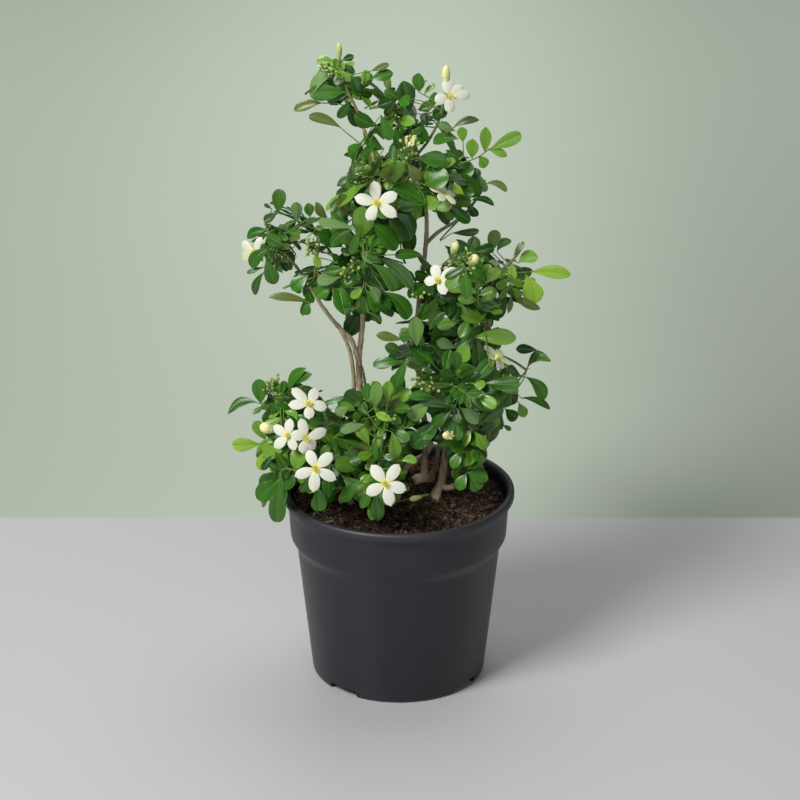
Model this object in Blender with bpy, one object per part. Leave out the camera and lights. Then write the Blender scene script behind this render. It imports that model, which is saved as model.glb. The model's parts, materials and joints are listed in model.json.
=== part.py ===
"""Orange jasmine, Murraya paniculata, in a round nursery pot.

Woody stems stand in holes in the potting mix. Green sprays grow out of them, each a twig with
pinnate leaves, stalks and small buds. Five-petalled white flowers sit on the stalks.
+Z is up, the front is -Y, and the origin is under the pot's middle, on the surface it stands on.
Shapes are laid out in millimetres and written to the meshes in metres.
"""

import math
import random

import bmesh
import bpy
from mathutils import Matrix, Quaternion, Vector
from mathutils.bvhtree import BVHTree

MM = 0.001
GAP = 0.3
UP = Vector((0.0, 0.0, 1.0))
FRONT = Vector((0.0, -1.0, 0.0))

# Pot
POT_SEGMENTS = 40
POT_HEIGHT = 148.0
LIP_RADIUS = 86.4
BAND_TOP_RADIUS = 82.3
BAND_FOOT_RADIUS = 80.8
BAND_FOOT_Z = 112.0
WALL_TOP_RADIUS = 76.2
WALL_TOP_Z = 104.5
FOOT_RADIUS = 65.2
WALL = 1.6
FLOOR_TOP = 6.0
FLOOR_UNDER = 4.2
FOOT_RING_INNER = 58.2
NOTCH_ANGLES = (-130.0, -40.0, 50.0, 140.0)
NOTCH_HALF_WIDTH = 13.5
NOTCH_HEIGHT = 5.0
DRAIN_RADIUS = 4.5
DRAIN_CIRCLE = 44.0

# Potting mix
SOIL_SEGMENTS = 20
SOIL_RINGS = (18.0, 36.0, 52.0, 67.0)
SOIL_TOP = 137.0
SOIL_MOUND = 2.2
SOIL_BUMP = 1.6

# Wood and green twigs
BARK_WOBBLE = 0.06
TWIG_RADIUS = 1.1
SIDE_TWIG_RADIUS = 0.95
TWIG_TIP_RADIUS = 0.8
SHOOT_RADIUS = 1.5

# Leaves
BLADE_HALF = 0.32
BLADE_CURL = 0.0035
RIB_HALF = 0.5
LEAF_LENGTH = 52.0
CLEAR = 0.38

# A leaf's proportions for one and for two pairs of side leaflets, as shares of its length:
# where each leaflet joins the rib, from and to, then its length, width and angle to the rib.
SIDE_LEAFLETS = {
    1: ((0.24, 0.31, 0.46, 0.23, 56.0),),
    2: ((0.13, 0.19, 0.35, 0.185, 65.0), (0.34, 0.40, 0.42, 0.215, 54.0)),
}
END_LEAFLET = {1: (0.50, 0.28), 2: (0.55, 0.24)}

# Flowers
PETAL_REACH = 16.0
PETAL_WIDTH = 7.8
PETAL_HALF = 0.31
TUBE_LENGTH = 4.2
TUBE_RADIUS = 1.15
HUB_RADIUS = 2.3

COLOURS = {
    "pot": ((0.026, 0.027, 0.031), 0.42),
    "soil": ((0.035, 0.019, 0.011), 0.95),
    "bark": ((0.20, 0.125, 0.068), 0.85),
    "leaf": ((0.030, 0.135, 0.026), 0.33),
    "petal": ((0.83, 0.83, 0.76), 0.5),
    "centre": ((0.80, 0.60, 0.07), 0.6),
    "bud": ((0.66, 0.70, 0.30), 0.5),
}

# Woody stems: a path, and the radius at its foot and its tip. A fork starts on the path before it.
STEMS = {
    "stem_left": [
        (
            [(-24, 15, 117), (-24, 15, 139), (-26, 12, 172), (-28, 5, 219), (-29, 2, 247), (-26, 0, 280),
             (-25, 2, 307), (-23, 5, 333), (-19, 5, 360), (-16, 0, 388), (-19, -3, 411), (-25, -5, 428)],
            2.7, 1.15,
        ),
        (
            [(-29, 2, 246), (-34, -4, 266), (-42, -6, 276), (-51, -8, 288), (-58, -8, 299), (-67, -8, 315),
             (-76, -8, 328)],
            1.9, 1.1,
        ),
    ],
    "stem_right": [
        (
            [(19, 28, 117), (19, 28, 139), (20, 25, 183), (16, 20, 217), (14, 15, 259), (15, 10, 292),
             (18, 5, 319), (20, 0, 344), (20, 0, 364), (18, 0, 388), (12, 5, 408), (7, 9, 423)],
            2.6, 1.1,
        ),
        ([(19, 2, 338), (29, -1, 349), (40, 2, 355), (49, 4, 362)], 1.5, 1.05),
    ],
    "stem_low_right": [
        (
            [(27, -4, 117), (27, -4, 139), (32, -4, 155), (35, -5, 177), (39, -6, 196), (45, -8, 217),
             (52, -8, 237), (59, -8, 256), (65, -8, 276), (68, -8, 299), (67, -10, 313)],
            3.3, 1.05,
        ),
        ([(30.5, -4, 150), (36, -7, 150), (41, -9, 152)], 2.2, 2.0),
    ],
    "stem_low_left": [
        (
            [(-35, -14, 117), (-35, -14, 139), (-45, -16, 160), (-56, -20, 182), (-68, -22, 203),
             (-78, -19, 216)],
            2.1, 1.15,
        ),
    ],
    "stem_back": [
        ([(3, 44, 117), (3, 44, 139), (11, 43, 149), (22, 41, 158), (27, 40, 180), (33, 39, 207),
          (41, 37, 234)], 2.9, 1.2),
        ([(3, 44, 139), (-12, 47, 163), (-26, 46, 196), (-38, 42, 228)], 2.0, 1.1),
    ],
}

# Green sprays: where the twig leaves its stem and the points it passes, side twigs, and its leaves.
# "out" gives a leaf's place along the twig, 0 to 1, and where its tip reaches.
SPRAYS = {
    "spray_crown_tip": {
        "stem": "stem_left", "seed": 11, "leaves": 0,
        "twigs": [[(-25, -5, 428), (-30, -6, 443), (-37, -6, 458), (-41, -5, 472)]],
        "out": [(0.45, (-75, -16, 446)), (0.2, (-64, -20, 432)), (0.95, (-31, -2, 484)), (0.8, (-62, -8, 469)),
                (0.6, (-6, -10, 470))],
    },
    "spray_crown_front_left": {
        "stem": "stem_left", "seed": 12, "leaves": 0,
        "twigs": [[(-16, 0, 388), (-22, -14, 393), (-30, -30, 398), (-36, -42, 402)]],
        "out": [(0.9, (-62, -58, 384)), (0.5, (-5, -52, 408)), (0.7, (-58, -34, 420))],
    },
    "spray_crown_top": {
        "stem": "stem_right", "seed": 13, "leaves": 0,
        "twigs": [[(7, 9, 423), (3, 7, 432), (-3, 7, 443), (-6, 9, 452)]],
        "out": [(0.95, (-12, 2, 481)), (0.6, (-44, 20, 436)), (0.5, (20, 34, 448))],
    },
    "spray_crown_top_right": {
        "stem": "stem_right", "seed": 14, "leaves": 0,
        "twigs": [[(13, 4, 405), (21, -4, 418), (28, -11, 434), (31, -16, 448)]],
        "out": [(0.9, (14, -20, 482)), (0.7, (62, -14, 450)), (0.35, (60, -16, 432))],
    },
    "spray_crown_right": {
        "stem": "stem_right", "seed": 15, "leaves": 0,
        "twigs": [[(18.5, 0, 383), (28, -6, 394), (38, -12, 403), (46, -14, 410)]],
        "out": [(0.98, (88, -20, 425)), (0.7, (78, -10, 402)), (0.5, (46, -52, 398))],
    },
    "spray_crown_right_low": {
        "stem": "stem_right", "seed": 16, "leaves": 0,
        "twigs": [[(49, 4, 362), (54, 4, 369), (59, 4, 377), (62, 5, 386)]],
        "out": [(0.6, (80, -4, 377)), (0.95, (82, 10, 397)), (0.4, (66, -34, 374)), (0.5, (62, 44, 372))],
    },
    "spray_crown_front": {
        "stem": "stem_right", "seed": 17, "leaves": 0,
        "twigs": [[(19, 0, 375), (14, -14, 388), (8, -28, 401), (3, -38, 412)]],
        "out": [(0.97, (-12, -54, 436)), (0.6, (34, -50, 424)), (0.4, (22, -52, 378))],
    },
    "spray_crown_back": {
        "stem": "stem_right", "seed": 18, "leaves": 2, "far": True,
        "twigs": [
            [(20, 0, 360), (19, 16, 374), (15, 34, 392), (10, 48, 408)],
            [(19, 16, 374), (2, 30, 378), (-18, 40, 380), (-34, 44, 386)],
        ],
        "out": [(0.9, (32, 66, 424)), (0.6, (50, 52, 396)), (0.95, (-4, 52, 448))],
        "side_out": [(0.95, (-66, 36, 392)), (0.7, (-34, 72, 376)), (0.6, (-40, 34, 424))],
    },
    "spray_left_up": {
        "stem": "stem_left", "seed": 21, "leaves": 0,
        "twigs": [[(-76, -8, 328), (-84, -8, 337), (-92, -6, 348), (-96, -4, 357)]],
        "out": [(0.97, (-96, -6, 386)), (0.5, (-119, -26, 318)), (0.3, (-110, 4, 309)), (0.8, (-128, 8, 351)),
                (0.7, (-70, -2, 380))],
    },
    "spray_left_mid": {
        "stem": "stem_left", "seed": 22, "leaves": 0,
        "twigs": [
            [(-60, -8, 303), (-60, -18, 320), (-58, -26, 338), (-56, -31, 354)],
            [(-60, -18, 320), (-72, -28, 320), (-82, -34, 318)],
        ],
        "out": [(0.97, (-66, -32, 384)), (0.7, (-26, -40, 366)), (0.5, (-34, -56, 330))],
        "side_out": [(0.95, (-100, -40, 296)), (0.6, (-72, -54, 300)), (0.3, (-90, -16, 292))],
    },
    "spray_left_inner": {
        "stem": "stem_left", "seed": 23, "leaves": 0,
        "twigs": [[(-24.5, 3, 322), (-25, -12, 330), (-25, -28, 337), (-24, -42, 345)]],
        "out": [(0.95, (-2, -58, 362)), (0.7, (-44, -54, 312)), (0.8, (0, -56, 326)), (0.3, (-44, -14, 296))],
    },
    "spray_left_back": {
        "stem": "stem_left", "seed": 24, "leaves": 1, "far": True,
        "twigs": [[(-25, 1.5, 300), (-36, 16, 310), (-50, 32, 322), (-60, 40, 334)]],
        "out": [(0.95, (-90, 44, 348)), (0.7, (-62, 68, 320)), (0.5, (-84, 18, 300)), (0.4, (-22, 52, 318))],
    },
    "spray_right_out": {
        "stem": "stem_low_right", "seed": 31, "leaves": 0,
        "twigs": [[(67, -10, 313), (73, -10, 321), (82, -9, 330), (88, -8, 338)]],
        "out": [(0.8, (125, -16, 322)), (0.45, (102, -30, 296)), (0.95, (96, -4, 360)), (0.7, (60, -22, 358)),
                (0.3, (98, 16, 300))],
    },
    "spray_right_front": {
        "stem": "stem_right", "seed": 32, "leaves": 0,
        "twigs": [[(16, 8, 303), (21, -8, 313), (27, -22, 324), (34, -32, 336)]],
        "out": [(0.97, (66, -50, 352)), (0.7, (4, -50, 322)), (0.8, (62, -52, 318)), (0.35, (-10, -24, 306))],
    },
    "spray_right_mid": {
        "stem": "stem_low_right", "seed": 33, "leaves": 0,
        "twigs": [[(64, -8, 273), (62, -18, 288), (60, -28, 300), (57, -36, 308)]],
        "out": [(0.95, (40, -60, 290)), (0.7, (88, -46, 284)), (0.4, (100, -22, 268)), (0.6, (28, -34, 288))],
    },
    "spray_back_right": {
        "stem": "stem_back", "seed": 34, "leaves": 1, "far": True,
        "twigs": [
            [(41, 37, 234), (49, 38, 258), (56, 38, 282), (60, 38, 304)],
            [(49, 38, 258), (64, 42, 256), (78, 44, 250)],
        ],
        "out": [(0.95, (60, 62, 328)), (0.7, (92, 40, 306)), (0.6, (28, 60, 298)), (0.85, (30, 34, 330))],
        "side_out": [(0.95, (108, 48, 232)), (0.7, (70, 74, 236)), (0.5, (84, 20, 226))],
    },
    "spray_low_right_out": {
        "stem": "stem_low_right", "seed": 41, "leaves": 0,
        "twigs": [[(60, -8, 259), (72, -6, 256), (84, -4, 250), (94, -2, 242)]],
        "out": [(0.6, (113, -2, 257)), (0.95, (113, -6, 216)), (0.7, (92, -34, 222)), (0.4, (74, 22, 226))],
    },
    "spray_low_right_front": {
        "stem": "stem_low_right", "seed": 42, "leaves": 0,
        "twigs": [
            [(48, -8, 226), (46, -22, 234), (42, -34, 242), (38, -44, 248)],
            [(46, -22, 234), (30, -28, 240), (16, -32, 248)],
        ],
        "out": [(0.95, (60, -64, 236)), (0.8, (26, -64, 222)), (0.5, (78, -38, 244)), (0.6, (40, -46, 278))],
        "side_out": [(0.95, (-8, -46, 268)), (0.8, (4, -52, 228)), (0.6, (12, -14, 280))],
    },
    "spray_low_right_hang": {
        "stem": "stem_low_right", "seed": 43, "leaves": 0,
        "twigs": [[(43, -7.5, 211), (51, -16, 206), (57, -22, 196), (60, -26, 184)]],
        "out": [(0.98, (58, -34, 156)), (0.7, (84, -42, 186)), (0.5, (40, -48, 190)), (0.4, (82, -4, 194))],
    },
    "spray_low_left_out": {
        "stem": "stem_low_left", "seed": 51, "leaves": 0,
        "twigs": [[(-78, -19, 216), (-85, -18, 222), (-93, -16, 226), (-98, -14, 232)]],
        "out": [(0.6, (-127, -16, 216)), (0.45, (-121, -38, 198)), (0.95, (-106, -8, 256)),
                (0.9, (-76, -20, 258)), (0.4, (-104, 12, 198))],
    },
    "spray_low_left_front": {
        "stem": "stem_low_left", "seed": 52, "leaves": 0,
        "twigs": [
            [(-62, -21, 192), (-68, -34, 194), (-76, -44, 190), (-84, -52, 184)],
            [(-68, -34, 194), (-58, -44, 204), (-52, -50, 216)],
        ],
        "out": [(0.95, (-92, -66, 148)), (0.8, (-110, -50, 172)), (0.6, (-70, -70, 170))],
        "side_out": [(0.95, (-44, -58, 242)), (0.7, (-28, -62, 206))],
    },
    "spray_front_low": {
        "stem": "soil", "seed": 53, "leaves": 0,
        "twigs": [[(-20, -34, 125), (-20, -34, 142), (-18, -42, 158), (-14, -48, 174), (-14, -50, 190)]],
        "out": [(0.6, (18, -68, 172)), (0.5, (-46, -72, 158)), (0.7, (20, -40, 184)), (0.97, (-30, -58, 222)),
                (0.4, (-22, -86, 160))],
    },
    "spray_low_left_back": {
        "stem": "stem_left", "seed": 54, "leaves": 0, "far": True,
        "twigs": [[(-26, 12, 176), (-40, 22, 184), (-56, 30, 190), (-68, 34, 198)]],
        "out": [(0.95, (-98, 30, 206)), (0.7, (-66, 62, 184)), (0.5, (-62, 4, 176)), (0.6, (-40, 46, 214))],
    },
    "spray_back_left": {
        "stem": "stem_back", "seed": 55, "leaves": 1, "far": True,
        "twigs": [[(-38, 42, 228), (-43, 42, 240), (-46, 42, 254), (-46, 42, 268)]],
        "out": [(0.95, (-44, 44, 296)), (0.7, (-80, 44, 262)), (0.5, (-42, 76, 240)), (0.6, (-10, 52, 262)),
                (0.3, (-70, 30, 230))],
    },
    "spray_centre": {
        "stem": "stem_left", "seed": 56, "leaves": 0,
        "twigs": [[(-27, 8, 203), (-25, -8, 206), (-21, -24, 212), (-16, -36, 220)]],
        "out": [(0.95, (8, -54, 238)), (0.7, (-42, -34, 234)), (0.8, (8, -50, 206)), (0.4, (6, 2, 214))],
    },
}

# Open flowers: middle, the way they face, the spray that holds them and the place on its twig.
FLOWERS = {
    "flower_1": ((-16, -62, 392), (-0.05, -0.93, 0.36), "spray_crown_front_left", 0.55, 1.0),
    "flower_2": ((39, -32, 457), (0.25, -0.85, 0.45), "spray_crown_top_right", 0.85, 1.0),
    "flower_3": ((28, -54, 330), (-0.30, -0.80, 0.45), "spray_right_front", 0.6, 0.95),
    "flower_4": ((-108, -18, 338), (-0.90, -0.40, 0.15), "spray_left_up", 0.6, 0.95),
    "flower_5": ((-66, -56, 240), (0.15, -0.75, 0.62), "spray_low_left_front", 0.5, 1.0),
    "flower_6": ((-84, -56, 212), (-0.35, -0.86, 0.38), "spray_low_left_front", 0.35, 0.95),
    "flower_7": ((-66, -72, 219), (0.30, -0.88, 0.30), "spray_low_left_front", 0.75, 1.0),
    "flower_8": ((-60, -82, 197), (0.02, -0.92, 0.38), "spray_low_left_front", 0.45, 1.05),
    "flower_9": ((-10, -82, 185), (0.0, -0.90, 0.42), "spray_front_low", 0.75, 1.08),
    "flower_10": ((31, -48, 388), (0.45, 0.10, 0.88), "spray_crown_front", 0.3, 0.85),
    "flower_11": ((77, -38, 262), (0.55, 0.45, 0.70), "spray_right_mid", 0.5, 0.95),
}
HIDDEN_CENTRES = ("flower_10", "flower_11")

# Large buds: foot, tip, greatest radius, the spray and the place on its twig.
BUDS = {
    "bud_top": ((-41.5, -5, 477), (-41.5, -6, 491), 2.1, "spray_crown_tip", 1.0),
    "bud_crown": ((33, -24, 461), (33, -27, 480), 2.6, "spray_crown_top_right", 1.0),
    "bud_right": ((38, -44, 348), (41, -48, 357), 3.2, "spray_right_front", 0.9),
    "bud_right_low": ((51, -42, 338), (55, -46, 347), 3.0, "spray_right_front", 0.8),
    "bud_low_left": ((-90, -44, 213), (-101, -48, 216), 3.0, "spray_low_left_out", 0.35),
    "bud_faded": ((6, -48, 427), (9, -58, 437), 2.4, "spray_crown_front", 0.9),
    "bud_low_right": ((38, -46, 204), (33, -58, 208), 2.8, "spray_low_right_hang", 0.4),
    "bud_by_trunk": ((17, -25, 151), (8, -29, 150), 2.5, "spray_front_low", 0.35),
}

# Small green buds: the spray, the place on its twig, where they point and how many there are.
CLUSTERS = [
    ("spray_low_left_out", 0.8, (-92, -34, 246), 2),
    ("spray_low_right_front", 0.9, (12, -58, 252), 2),
    ("spray_low_right_out", 0.5, (76, -30, 246), 1),
    ("spray_left_inner", 0.6, (-42, -46, 334), 1),
    ("spray_left_mid", 0.8, (-66, -46, 354), 2),
    ("spray_right_front", 0.4, (10, -40, 312), 1),
    ("spray_centre", 0.8, (-4, -48, 224), 1),
    ("spray_crown_tip", 0.9, (-52, -14, 480), 2),
    ("spray_low_left_front", 0.3, (-40, -54, 194), 1),
]


def turn(vector, axis, angle):
    return Quaternion(axis, angle) @ vector


def across(vector):
    """A unit vector square to this one, as level as it can be."""
    side = vector.cross(UP)
    if side.length < 0.05:
        side = vector.cross(FRONT)
    return side.normalized()


def point_at(path, place):
    """The point and the direction at a place from 0 to 1 along a path."""
    spans = [(b - a).length for a, b in zip(path, path[1:])]
    left = max(0.0, min(1.0, place)) * sum(spans)
    for (a, b), span in zip(zip(path, path[1:]), spans):
        if left <= span or b is path[-1]:
            return a.lerp(b, left / span), (b - a).normalized()
        left -= span
    return path[-1].copy(), (path[-1] - path[-2]).normalized()


class Shape:
    """Vertices in millimetres and faces that point out."""

    def __init__(self):
        self.points = []
        self.faces = []

    def add(self, points):
        start = len(self.points)
        self.points.extend(points)
        return list(range(start, len(self.points)))

    def tree(self):
        return BVHTree.FromPolygons(self.points, self.faces, all_triangles=False, epsilon=0.0)


def tube(path, radii, sides, wobble=0.0, chance=None):
    """A round stalk along a path, closed at both ends."""
    shape = Shape()
    rings = []
    side = None
    for i, centre in enumerate(path):
        before = path[max(i - 1, 0)]
        after = path[min(i + 1, len(path) - 1)]
        ahead = (after - before).normalized()
        side = across(ahead) if side is None else (side - ahead * side.dot(ahead)).normalized()
        other = ahead.cross(side)
        ring = []
        for k in range(sides):
            angle = math.tau * k / sides
            reach = radii[i] * (1 + (chance.uniform(-wobble, wobble) if chance else 0.0))
            ring.append(centre + reach * (side * math.cos(angle) + other * math.sin(angle)))
        rings.append(shape.add(ring))
    for low, high in zip(rings, rings[1:]):
        for k in range(sides):
            n = (k + 1) % sides
            shape.faces.append((low[k], low[n], high[n], high[k]))
    shape.faces.append(tuple(reversed(rings[0])))
    shape.faces.append(tuple(rings[-1]))
    return shape


def tapered(path, foot, tip):
    count = len(path) - 1
    return [foot + (tip - foot) * (i / count) ** 0.8 for i in range(count + 1)]


def mesh_object(name, shape, material, smooth_angle=35.0):
    mesh = bpy.data.meshes.new(name)
    mesh.from_pydata([p * MM for p in shape.points], [], shape.faces)
    mesh.validate()
    mesh.shade_smooth()
    mesh.set_sharp_from_angle(angle=math.radians(smooth_angle))
    mesh.materials.append(MATERIALS[material])
    obj = bpy.data.objects.new(name, mesh)
    bpy.context.scene.collection.objects.link(obj)
    return obj


def fused(name, shapes, material, smooth_angle=35.0):
    """One object made of overlapping closed shapes, joined by a Boolean union."""
    body = mesh_object(name, shapes[0], material, smooth_angle)
    if len(shapes) == 1:
        return body
    others = bpy.data.collections.new(name + "_parts")
    bpy.context.scene.collection.children.link(others)
    for i, shape in enumerate(shapes[1:]):
        extra = mesh_object(f"{name}_{i}", shape, material, smooth_angle)
        bpy.context.scene.collection.objects.unlink(extra)
        others.objects.link(extra)
    union = body.modifiers.new("union", "BOOLEAN")
    union.operation = "UNION"
    union.operand_type = "COLLECTION"
    union.collection = others
    union.solver = "MANIFOLD"
    graph = bpy.context.evaluated_depsgraph_get()
    joined = bpy.data.meshes.new_from_object(body.evaluated_get(graph), depsgraph=graph)
    body.modifiers.clear()
    body.data = joined
    body.data.name = name
    for extra in list(others.objects):
        bpy.data.objects.remove(extra)
    bpy.data.collections.remove(others)
    return body


def cut(body, cutters):
    """Applies a Boolean difference for each cutter, then removes the cutters."""
    for cutter in cutters:
        cutter.hide_render = True
        cutter.display_type = "WIRE"
        difference = body.modifiers.new("cut", "BOOLEAN")
        difference.operation = "DIFFERENCE"
        difference.object = cutter
        difference.solver = "EXACT"
    graph = bpy.context.evaluated_depsgraph_get()
    mesh = bpy.data.meshes.new_from_object(body.evaluated_get(graph), depsgraph=graph)
    body.modifiers.clear()
    body.data = mesh
    for cutter in cutters:
        bpy.data.objects.remove(cutter)


def fan(face):
    """A face as triangles from its first corner."""
    return [(face[0], face[i], face[i + 1]) for i in range(1, len(face) - 1)]


def from_bmesh(bm):
    """The shape that a bmesh holds, with its faces turned outwards. It frees the bmesh."""
    bmesh.ops.recalc_face_normals(bm, faces=bm.faces)
    bm.verts.index_update()
    shape = Shape()
    shape.points = [v.co.copy() for v in bm.verts]
    shape.faces = [tuple(v.index for v in f.verts) for f in bm.faces]
    bm.free()
    return shape


def turned(profile, segments):
    """A solid of revolution: the profile starts and ends on the axis."""
    bm = bmesh.new()
    verts = [bm.verts.new((r, 0.0, z)) for r, z in profile]
    edges = [bm.edges.new(pair) for pair in zip(verts, verts[1:])]
    bmesh.ops.spin(
        bm, geom=verts + edges, axis=UP, cent=(0, 0, 0), angle=math.tau, steps=segments, use_merge=True
    )
    bmesh.ops.remove_doubles(bm, verts=bm.verts, dist=1e-4)
    return from_bmesh(bm)


def drum(radius, low, high, sides, x=0.0, y=0.0):
    bm = bmesh.new()
    place = Matrix.Translation((x, y, (low + high) / 2))
    bmesh.ops.create_cone(
        bm, cap_ends=True, segments=sides, radius1=radius, radius2=radius, depth=high - low, matrix=place
    )
    return from_bmesh(bm)


def box(size, middle, angle):
    bm = bmesh.new()
    place = Matrix.Rotation(angle, 4, "Z") @ Matrix.Translation(middle) @ Matrix.Diagonal((*size, 1.0))
    bmesh.ops.create_cube(bm, size=1.0, matrix=place)
    return from_bmesh(bm)


def pot_profile():
    """The pot's section from the middle of its underside, up the outside and down the inside."""
    inner_band = BAND_TOP_RADIUS - WALL
    return [
        (0, FLOOR_UNDER),
        (FOOT_RING_INNER - 0.6, FLOOR_UNDER),
        (FOOT_RING_INNER, 0),
        (FOOT_RADIUS - 3.0, 0),
        (FOOT_RADIUS, 2.2),
        (WALL_TOP_RADIUS, WALL_TOP_Z),
        (BAND_FOOT_RADIUS, BAND_FOOT_Z),
        (BAND_TOP_RADIUS, POT_HEIGHT - 8.2),
        (LIP_RADIUS - 0.2, POT_HEIGHT - 6.8),
        (LIP_RADIUS, POT_HEIGHT - 2.0),
        (LIP_RADIUS - 2.6, POT_HEIGHT),
        (inner_band + 0.2, POT_HEIGHT - 1.6),
        (BAND_FOOT_RADIUS - WALL, BAND_FOOT_Z + 1.2),
        (WALL_TOP_RADIUS - WALL, WALL_TOP_Z + 0.8),
        (FOOT_RADIUS - WALL + 0.3, FLOOR_TOP),
        (0, FLOOR_TOP),
    ]


def make_pot():
    pot = mesh_object("pot", turned(pot_profile(), POT_SEGMENTS), "pot")
    cutters = []
    for degrees in NOTCH_ANGLES:
        angle = math.radians(degrees)
        notch = box((20, 2 * NOTCH_HALF_WIDTH, 2 * NOTCH_HEIGHT), (FOOT_RADIUS + 1, 0, 0), angle)
        cutters.append(mesh_object("notch", notch, "pot"))
        x, y = DRAIN_CIRCLE * math.cos(angle), DRAIN_CIRCLE * math.sin(angle)
        cutters.append(mesh_object("drain", drum(DRAIN_RADIUS, 1, FLOOR_TOP + 3, 8, x, y), "pot"))
    cut(pot, cutters)
    pot.data.shade_smooth()
    pot.data.set_sharp_from_angle(angle=math.radians(35))


def soil_height(x, y):
    """The mounded top of the mix, with low bumps."""
    r = math.hypot(x, y)
    bumps = math.sin(0.11 * x + 1.3) * math.cos(0.13 * y - 0.4) + 0.6 * math.sin(0.21 * y + 0.17 * x)
    return SOIL_TOP + SOIL_MOUND * math.cos(min(r / 80, 1) * math.pi / 2) + SOIL_BUMP * 0.6 * bumps


def soil_shape():
    """The mix fills the pot down to its floor, with a mounded and bumpy top."""
    profile = [
        (0, FLOOR_TOP + GAP),
        (FOOT_RADIUS - WALL - 0.1, FLOOR_TOP + GAP),
        (WALL_TOP_RADIUS - WALL - 0.4, WALL_TOP_Z + 0.8),
        (BAND_FOOT_RADIUS - WALL - 0.4, BAND_FOOT_Z + 1.2),
        (BAND_TOP_RADIUS - WALL - 0.35, SOIL_TOP - 1.0),
    ]
    shape = turned(profile + [(r, SOIL_TOP) for r in reversed(SOIL_RINGS)] + [(0, SOIL_TOP)], SOIL_SEGMENTS)
    for point in shape.points:
        if point.z > SOIL_TOP - 0.5:
            point.z = soil_height(point.x, point.y)
    shape.faces = [part for face in shape.faces for part in fan(face)]
    return shape


def make_soil(holes):
    """The mix with a plain hole for each stem."""
    soil = mesh_object("soil", soil_shape(), "soil", 60)
    cutters = []
    for x, y, low, radius in holes:
        wide = (radius + GAP) / math.cos(math.pi / 8) + 0.05
        cutters.append(mesh_object("hole", drum(wide, low - GAP, POT_HEIGHT + 12, 8, x, y), "soil"))
    cut(soil, cutters)


class Leaf:
    """A pinnate leaf: a rib with pairs of side leaflets and one end leaflet, arched downwards."""

    def __init__(self, base, ahead, normal, length, droop, fold, pairs):
        self.base = base
        self.ahead = ahead.normalized()
        self.normal = (normal - self.ahead * normal.dot(self.ahead)).normalized()
        self.side = self.normal.cross(self.ahead)
        self.length = length
        self.droop = droop
        self.fold = fold
        self.pairs = pairs

    def frame(self, s):
        """The rib's point and its upper normal at this distance along it, on an arc."""
        bend = self.droop / self.length
        angle = bend * s
        if abs(bend) < 1e-6:
            return self.base + self.ahead * s, self.normal
        along = self.ahead * (math.sin(angle) / bend) - self.normal * ((1 - math.cos(angle)) / bend)
        return self.base + along, self.normal * math.cos(angle) + self.ahead * math.sin(angle)

    def place(self, s, t):
        """A point of the blade and its normal: s runs along the rib and t to its left."""
        centre, normal = self.frame(s)
        out = max(abs(t) - RIB_HALF, 0.0)
        sign = 1.0 if t > 0 else -1.0
        rise = out * math.sin(self.fold) - BLADE_CURL * out * out
        point = centre + self.side * (t * math.cos(self.fold)) + normal * rise
        slope = self.fold - math.atan(2 * BLADE_CURL * out) if out else 0.0
        return point, normal * math.cos(slope) - self.side * (sign * math.sin(slope))

    def outline(self):
        """The flat outline's points as (s, t), and its triangles, seen from above."""
        sides = SIDE_LEAFLETS[self.pairs]
        end_start, end_width = END_LEAFLET[self.pairs]
        marks = [0.0] + [m * self.length for leaflet in sides for m in leaflet[:2]] + [end_start * self.length]
        points = [(s, t) for s in marks for t in (RIB_HALF, -RIB_HALF)]
        triangles = []
        for i in range(len(marks) - 1):
            left, right, next_left, next_right = range(2 * i, 2 * i + 4)
            triangles += [(right, next_right, next_left), (right, next_left, left)]
        for i, (start, stop, long, wide, sweep) in enumerate(sides):
            long, half = long * self.length, wide * self.length / 2
            middle = (start + stop) / 2 * self.length
            c, d = math.cos(math.radians(sweep)), math.sin(math.radians(sweep))
            for sign in (1, -1):
                near = 4 * i + (2 if sign > 0 else 3)
                back = (middle + 0.52 * long * c - half * d, sign * (RIB_HALF + 0.52 * long * d + half * c))
                tip = (middle + long * c, sign * (RIB_HALF + long * d))
                fore = (middle + 0.62 * long * c + half * d, sign * (RIB_HALF + 0.62 * long * d - half * c))
                b, p, f = range(len(points), len(points) + 3)
                points += [back, tip, fore]
                for face in ((near, f, b), (b, f, p), (near, near + 2, f)):
                    triangles.append(face if sign > 0 else tuple(reversed(face)))
        s, long, half = marks[-1], self.length - marks[-1], end_width * self.length / 2
        left, right = 2 * len(marks) - 2, 2 * len(marks) - 1
        a, b, p, c, d = range(len(points), len(points) + 5)
        points += [(s + 0.40 * long, 0.8 * half), (s + 0.74 * long, half), (s + long, 0)]
        points += [(s + 0.74 * long, -half), (s + 0.40 * long, -0.8 * half)]
        triangles += [(right, a, left), (right, d, a), (d, c, a), (c, b, a), (c, p, b)]
        return points, triangles

    def shape(self, half=BLADE_HALF, grow=1.0, skip=0.0):
        """The blade as a closed plate. For a clearance test, it is thicker, larger and starts further out."""
        flat, triangles = self.outline()
        shape = Shape()
        top = []
        under = []
        for s, t in flat:
            point, normal = self.place(max(s * grow, skip), t * grow)
            top.append(point + normal * half)
            under.append(point - normal * half)
        upper = shape.add(top)
        lower = shape.add(under)
        edges = {}
        for a, b, c in triangles:
            shape.faces.append((upper[a], upper[b], upper[c]))
            shape.faces.append((lower[c], lower[b], lower[a]))
            for edge in ((a, b), (b, c), (c, a)):
                edges[edge] = True
        for a, b in edges:
            if (b, a) not in edges:
                shape.faces.append((upper[b], upper[a], lower[a]))
                shape.faces.append((upper[b], lower[a], lower[b]))
        return shape


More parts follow.
